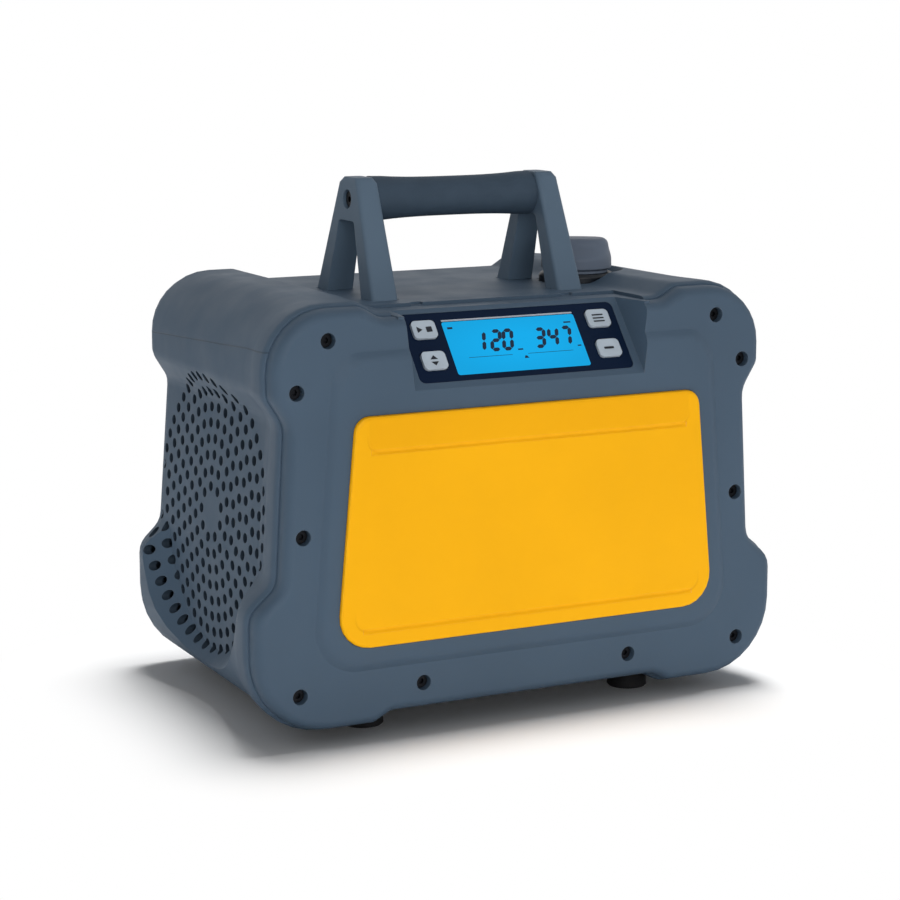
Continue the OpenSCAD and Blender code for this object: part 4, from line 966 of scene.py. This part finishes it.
@dataclass
class FlarePort:
    """Flare port: hex shoulder, cut thread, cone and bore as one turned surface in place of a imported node."""

    name: str
    pitch: float = 1.27  # distance between two turns of the thread
    depth: float = 0.62  # of the thread
    hex_long: float = 5.0
    hex_flat: float = 9.53  # half the width across the flats
    hex_trim: Pair = (0.6, 0.92)  # length of the shoulder's end cones, and their narrow end as a share
    thread_long: float = 13.0
    thread_r: float = 5.556  # at the crest
    thread_in: Pair = (0.05, 0.99)  # start of the thread, and its share of that length
    trim: Pair = (1.3, 0.15)  # stretch and shift that flatten crest and root
    run_out: float = 1.2  # length over which the thread fades at the tip
    cone: float = 2.6  # length and depth of the flare cone
    bore: float = 2.6
    neck_r: float = 6.5

    def build(self) -> bpy.types.Object:
        """Builds the port: radius as a function of the place along the axis and of the turn about it.

        The shoulder's radius is flat / cos(angle from the nearest flat), trimmed by a cone at its two ends. The
        thread's radius falls from the crest by the depth times a trimmed triangle wave of x / pitch - turn.

        Returns:
            The port as one piece.
        """
        low, high = (np.array(corner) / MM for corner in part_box(self.name))
        y, z = (low[1] + high[1]) / 2, (low[2] + high[2]) / 2
        tip = high[0]
        face = tip - self.cone - self.thread_long - self.hex_long
        start = face + self.hex_long
        end = start + self.thread_long
        turn = np.linspace(0.0, 2 * math.pi, 96, endpoint=False)
        plain = np.ones_like(turn)
        root = (self.thread_r - self.depth) * plain
        side = self.hex_flat / np.cos((turn + math.pi / 6) % (math.pi / 3) - math.pi / 6)
        trimmed = np.minimum(side, self.hex_flat / math.cos(math.pi / 6) * self.hex_trim[1])
        along = np.arange(0.0, self.thread_long, self.pitch / 8)
        wave = np.abs(((along[:, None] / self.pitch - turn[None, :] / (2 * math.pi)) % 1.0) * 2 - 1)
        fade = np.clip((self.thread_long - along) / self.run_out, 0.0, 1.0)[:, None]
        fall = np.clip(wave * self.trim[0] - self.trim[1], 0.0, 1.0)
        thread = self.thread_r - self.depth * (1 - (1 - fall) * fade)
        first, share = self.thread_in
        rows = [
            (low[0], self.bore * plain), (low[0], self.neck_r * plain), (face, self.neck_r * plain),
            (face, trimmed), (face + self.hex_trim[0], side), (start - self.hex_trim[0], side), (start, trimmed),
            (start, root), *((start + first + a * share, r) for a, r in zip(along, thread)), (end, root),
            (tip, (self.thread_r - self.cone) * plain), (tip, self.bore * plain),
        ]
        x = np.array([row[0] for row in rows])[:, None] * np.ones((1, len(turn)))
        r = np.stack([row[1] for row in rows])
        surface = skin(np.stack([x, y + r * np.cos(turn), z + r * np.sin(turn)], axis=-1), wrap_u=True)
        return make_piece(
            f"{self.name}_turned", surface, Finish.BRASS, Body.CHASSIS, (self.name,), smooth=40.0
        )


@dataclass
class Knob:
    """Valve knob: a round foot with an undercut that runs smoothly into a finger bar with a rounded top."""

    axis: Pair = (98.0, 0.0)
    foot_r: float = 23.5
    draft: float = 0.6  # how much narrower the top is
    undercut: tuple[Pair, ...] = ((0.0, 2.6), (1.8, 2.6), (2.4, 1.0))  # height and inset of the lowest rings
    skirt_from: float = 3.2
    bar: Pair = (21.6, 14.5)  # half length and half width of the finger bar
    bar_from: float = 8.5
    bar_under: float = 12.0  # part of the knob's height that is outside the bar's run
    squareness: float = 0.7  # how far the ring's exponent rises above 2
    turn: float = -32.0
    round_r: float = 4.6  # radius of the top edge
    line_size: Triple = (8.5, 1.3, 0.5)  # length, width and corner radius of the pale line
    line_at: float = -10.0
    line_z: float = 287.54
    line_half: float = 0.05  # half its thickness

    def build(self) -> bpy.types.Object:
        """Builds the knob as rings of a superellipse.

        With u from 0 at the foot to 1 at the top, the half length and the half width run from the foot's radius
        to the bar's along a smooth step, and the exponent from 2 to 2.7. A point of the ring at angle a has the
        radius (|cos a / length| ^ n + |sin a / width| ^ n) ^ (-1 / n). The last rows bend in along a quarter
        circle.

        Returns:
            The knob as one piece.
        """
        low, high = (np.array(corner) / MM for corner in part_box("valve_knob"))
        base, tall = low[2], high[2] - low[2]
        foot_high, foot_in = np.array(self.undercut).T
        straight = np.linspace(self.skirt_from, tall - self.round_r, 18)
        bend = np.linspace(0.0, math.pi / 2, 10)[1:]
        height = np.concatenate([foot_high, straight, tall - self.round_r * (1 - np.sin(bend))])
        inset = np.concatenate([foot_in, np.zeros(len(straight)), self.round_r * (1 - np.cos(bend))])
        u = np.clip((height - self.bar_from) / (tall - self.bar_under), 0.0, 1.0)
        step = u * u * (3 - 2 * u)
        skirt = self.foot_r - self.draft * height / tall - inset
        long, wide = (skirt + (half - self.foot_r) * step for half in self.bar)
        power = (2.0 + self.squareness * step)[:, None]
        angle = np.linspace(0.0, 2 * math.pi, 112, endpoint=False)
        part = np.abs(np.cos(angle)[None] / long[:, None]) ** power
        part = part + np.abs(np.sin(angle)[None] / wide[:, None]) ** power
        radius = part ** (-1 / power)
        turned = angle + math.radians(self.turn)
        x, y = self.axis[0] + radius * np.cos(turned), self.axis[1] + radius * np.sin(turned)
        points = np.stack([x, y, np.broadcast_to((base + height)[:, None], x.shape)], axis=-1)
        surface = skin(points, caps=True)
        return make_piece(
            "valve_knob_shaped", surface, Finish.KNOB, Body.VALVE, ("valve_knob",), smooth=50.0
        )

    def line(self) -> bpy.types.Object:
        """Prints the pale line along one end of the finger bar.

        Returns:
            The line as one piece.
        """
        c, s = math.cos(math.radians(self.turn)), math.sin(math.radians(self.turn))
        place = Placement((*self.axis, self.line_z), (c, s, 0.0), (-s, c, 0.0), (0.0, 0.0, 1.0))
        outline = rounded_box(*self.line_size, 4) + [self.line_at, 0.0]
        plate = place.carry(prisms([outline], -self.line_half, self.line_half))
        return make_piece("knob_line", plate, Finish.PALE_PRINT, Body.VALVE)


@dataclass
class Rocker:
    """The two generic signs on the rocker switch: a bar and a ring."""

    middle: Triple = (98.0, 107.0, 111.5)  # of the rocker's recess
    # Ends of the two halves' slopes, as distances to the back and up from the middle.
    lower: tuple[Pair, Pair] = ((5.4, -10.2), (4.0, 0.0))
    upper: tuple[Pair, Pair] = ((4.0, 0.0), (9.0, 9.2))
    low: float = -0.02
    high: float = 0.05
    bar: Triple = (1.2, 4.6, 0.3)  # width, height and corner radius
    ring: Pair = (2.4, 1.5)  # outer and inner radius

    def signs(self) -> bpy.types.Object:
        """Prints the bar on the upper half and the ring on the lower one, each flat on its slope.

        The ring is a section of four corners carried round a circle.

        Returns:
            The signs as one piece.
        """
        x, y, z = self.middle
        stroke = prisms([rounded_box(*self.bar, 3)], self.low, self.high)
        section = zip(np.repeat(self.ring, 2), (self.low, self.high, self.high, self.low))
        ring = skin(np.stack([lifted(circle(radius), height) for radius, height in section]), wrap_u=True)
        parts = []
        for ends, mark in ((np.array(self.upper), stroke), (np.array(self.lower), ring)):
            mid = ends.mean(axis=0)
            dy, dz = (ends[1] - ends[0]) / np.linalg.norm(ends[1] - ends[0])
            place = Placement((x, y + mid[0], z + mid[1]), (-1.0, 0.0, 0.0), (0.0, dy, dz), (0.0, dz, -dy))
            parts.append(place.carry(mark))
        return make_piece("rocker_signs", parts[0] + parts[1], Finish.PALE_PRINT, Body.ROCKER)


@dataclass
class Studio:
    """Camera, floor, soft light and white surroundings."""

    camera_at: Triple = (-716.8, -1393.2, 438.5)
    camera_turn: Triple = (79.648, 0.0, -27.342)
    lens: float = 97.19  # for a picture 36 mm wide
    floor_half: float = 6000.0
    footprint: Pair = (165.0, 112.0)  # half width and half depth of the machine on the floor
    floor_fade: Pair = (8.0, 105.0)  # distances from the footprint between which the floor fades to white
    floor_glow: float = 0.02  # light that the camera sees on the floor in any shadow
    room_light: float = 0.22  # strength of the surroundings as a light
    # Name, place, aim, size and power of the lamps that leave out the floor, and of the floor's own lamp.
    lamps: tuple[Lamp, ...] = (
        ("key_lamp", (-500, -2300, 1000), (0, 0, 150), 1600, 23.2),
        ("left_lamp", (-1900, -700, 700), (0, 0, 150), 1200, 2.6),
        ("right_lamp", (1800, -1200, 700), (0, 0, 150), 1200, 4.0),
        ("top_lamp", (200, 500, 2200), (0, 0, 200), 1200, 0.8),
    )
    floor_lamp: Lamp = ("floor_lamp", (300, 200, 2300), (0, 0, 0), 900, 58.0)

    def camera(self) -> None:
        """Sets the camera at the photograph's place and angle."""
        data = bpy.data.cameras.new("view_camera")
        data.lens = self.lens
        data.sensor_width = 36.0
        data.clip_end = 50.0
        obj = bpy.data.objects.new("view_camera", data)
        obj.location = metres(self.camera_at)
        obj.rotation_euler = tuple(math.radians(v) for v in self.camera_turn)
        bpy.context.scene.collection.objects.link(obj)
        bpy.context.scene.camera = obj

    def floor(self) -> bpy.types.Object:
        """Lays a pale floor that shows the shadow near the machine and fades to the white of the surroundings.

        Returns:
            The floor.
        """
        half = self.floor_half * MM
        mesh = bpy.data.meshes.new("floor")
        mesh.from_pydata([(-half, -half, 0), (half, -half, 0), (half, half, 0), (-half, half, 0)], [], [[0, 1, 2, 3]])
        shader = Shader("pale_floor")
        seen = shader.node("ShaderNodeLightPath").outputs["Is Camera Ray"]
        shader.set(Base_Color=(0.93, 0.93, 0.93, 1.0), Roughness=0.9, Specular_IOR_Level=0.0)
        shader.set(Emission_Color=WHITE, Emission_Strength=shader.math("MULTIPLY", seen, self.floor_glow))
        away = shader.place
        for operation, limit in (("ABSOLUTE", (0, 0, 0)), ("SUBTRACT", (*self.footprint, 0)), ("MAXIMUM", (0, 0, 0))):
            away = shader.node("ShaderNodeVectorMath", away, metres(limit), operation=operation).outputs["Vector"]
        far = shader.remap(shader.length(away), metres(self.floor_fade), FULL)
        white = shader.node("ShaderNodeEmission").outputs["Emission"]
        share = shader.math("MULTIPLY", seen, far)
        mix = shader.node("ShaderNodeMixShader", share, shader.bsdf.outputs["BSDF"], white)
        shader.fill(shader.tree.nodes["Material Output"], Surface=mix.outputs["Shader"])
        mesh.materials.append(shader.material)
        obj = bpy.data.objects.new("floor", mesh)
        bpy.context.scene.collection.objects.link(obj)
        return obj

    @staticmethod
    def lamp(name: str, at: Triple, aim: Triple, size: float, power: float) -> bpy.types.Object:
        """Adds one soft lamp.

        Args:
            name: Name of the lamp.
            at: Its place.
            aim: The point that it faces.
            size: Side of its square face.
            power: Power in watts.

        Returns:
            The lamp.
        """
        data = bpy.data.lights.new(name, "AREA")
        data.shape = "SQUARE"
        data.size = size * MM
        data.energy = power
        obj = bpy.data.objects.new(name, data)
        dx, dy, dz = np.array(aim) - np.array(at)
        obj.location = metres(at)
        obj.rotation_euler = (math.atan2(math.hypot(dx, dy), -dz), 0.0, math.atan2(-dx, dy))
        bpy.context.scene.collection.objects.link(obj)
        return obj

    @staticmethod
    def receivers(name: str, floor: bpy.types.Object, state: Receivers) -> bpy.types.Collection:
        """Lists the floor as the only thing that a lamp lights, or as the only thing that it leaves out.

        Args:
            name: Name of the list.
            floor: The floor.
            state: Which of the two.

        Returns:
            The list, as a collection.
        """
        group = bpy.data.collections.new(name)
        group.objects.link(floor)
        group.collection_objects[0].light_linking.link_state = state.value
        return group

    def surroundings(self) -> None:
        """Fills the surroundings with even light that camera, gloss and glass see as white."""
        world = bpy.data.worlds.new("white_room")
        world.use_nodes = True
        nodes = Nodes(world.node_tree)
        rays = nodes.node("ShaderNodeLightPath").outputs
        seen = rays["Is Camera Ray"]
        for kind in ("Is Glossy Ray", "Is Transmission Ray"):
            seen = nodes.math("MAXIMUM", seen, rays[kind])
        level = nodes.remap(seen, FULL, (self.room_light, 1.0))
        nodes.fill(nodes.tree.nodes["Background"], Color=WHITE, Strength=level)
        bpy.context.scene.world = world

    def build(self) -> None:
        """Builds the studio."""
        self.camera()
        floor = self.floor()
        self.surroundings()
        others = self.receivers("lit_by_other_lamps", floor, Receivers.ALL_BUT_FLOOR)
        for row in self.lamps:
            self.lamp(*row).light_linking.receiver_collection = others
        alone = self.receivers("lit_by_floor_lamp", floor, Receivers.FLOOR_ONLY)
        self.lamp(*self.floor_lamp).light_linking.receiver_collection = alone


def main() -> None:
    """Builds the machine's looks in order."""
    logging.basicConfig(level=logging.INFO, format="%(name)s: %(message)s")
    bpy.context.scene.view_settings.view_transform = "Standard"
    Studio().build()
    Solids().dress()
    Readout().build()
    Console().build()
    FlarePort("inlet_port").build()
    FlarePort("outlet_port").build()
    knob = Knob()
    knob.build()
    knob.line()
    Rocker().signs()


if __name__ == "__main__":
    main()
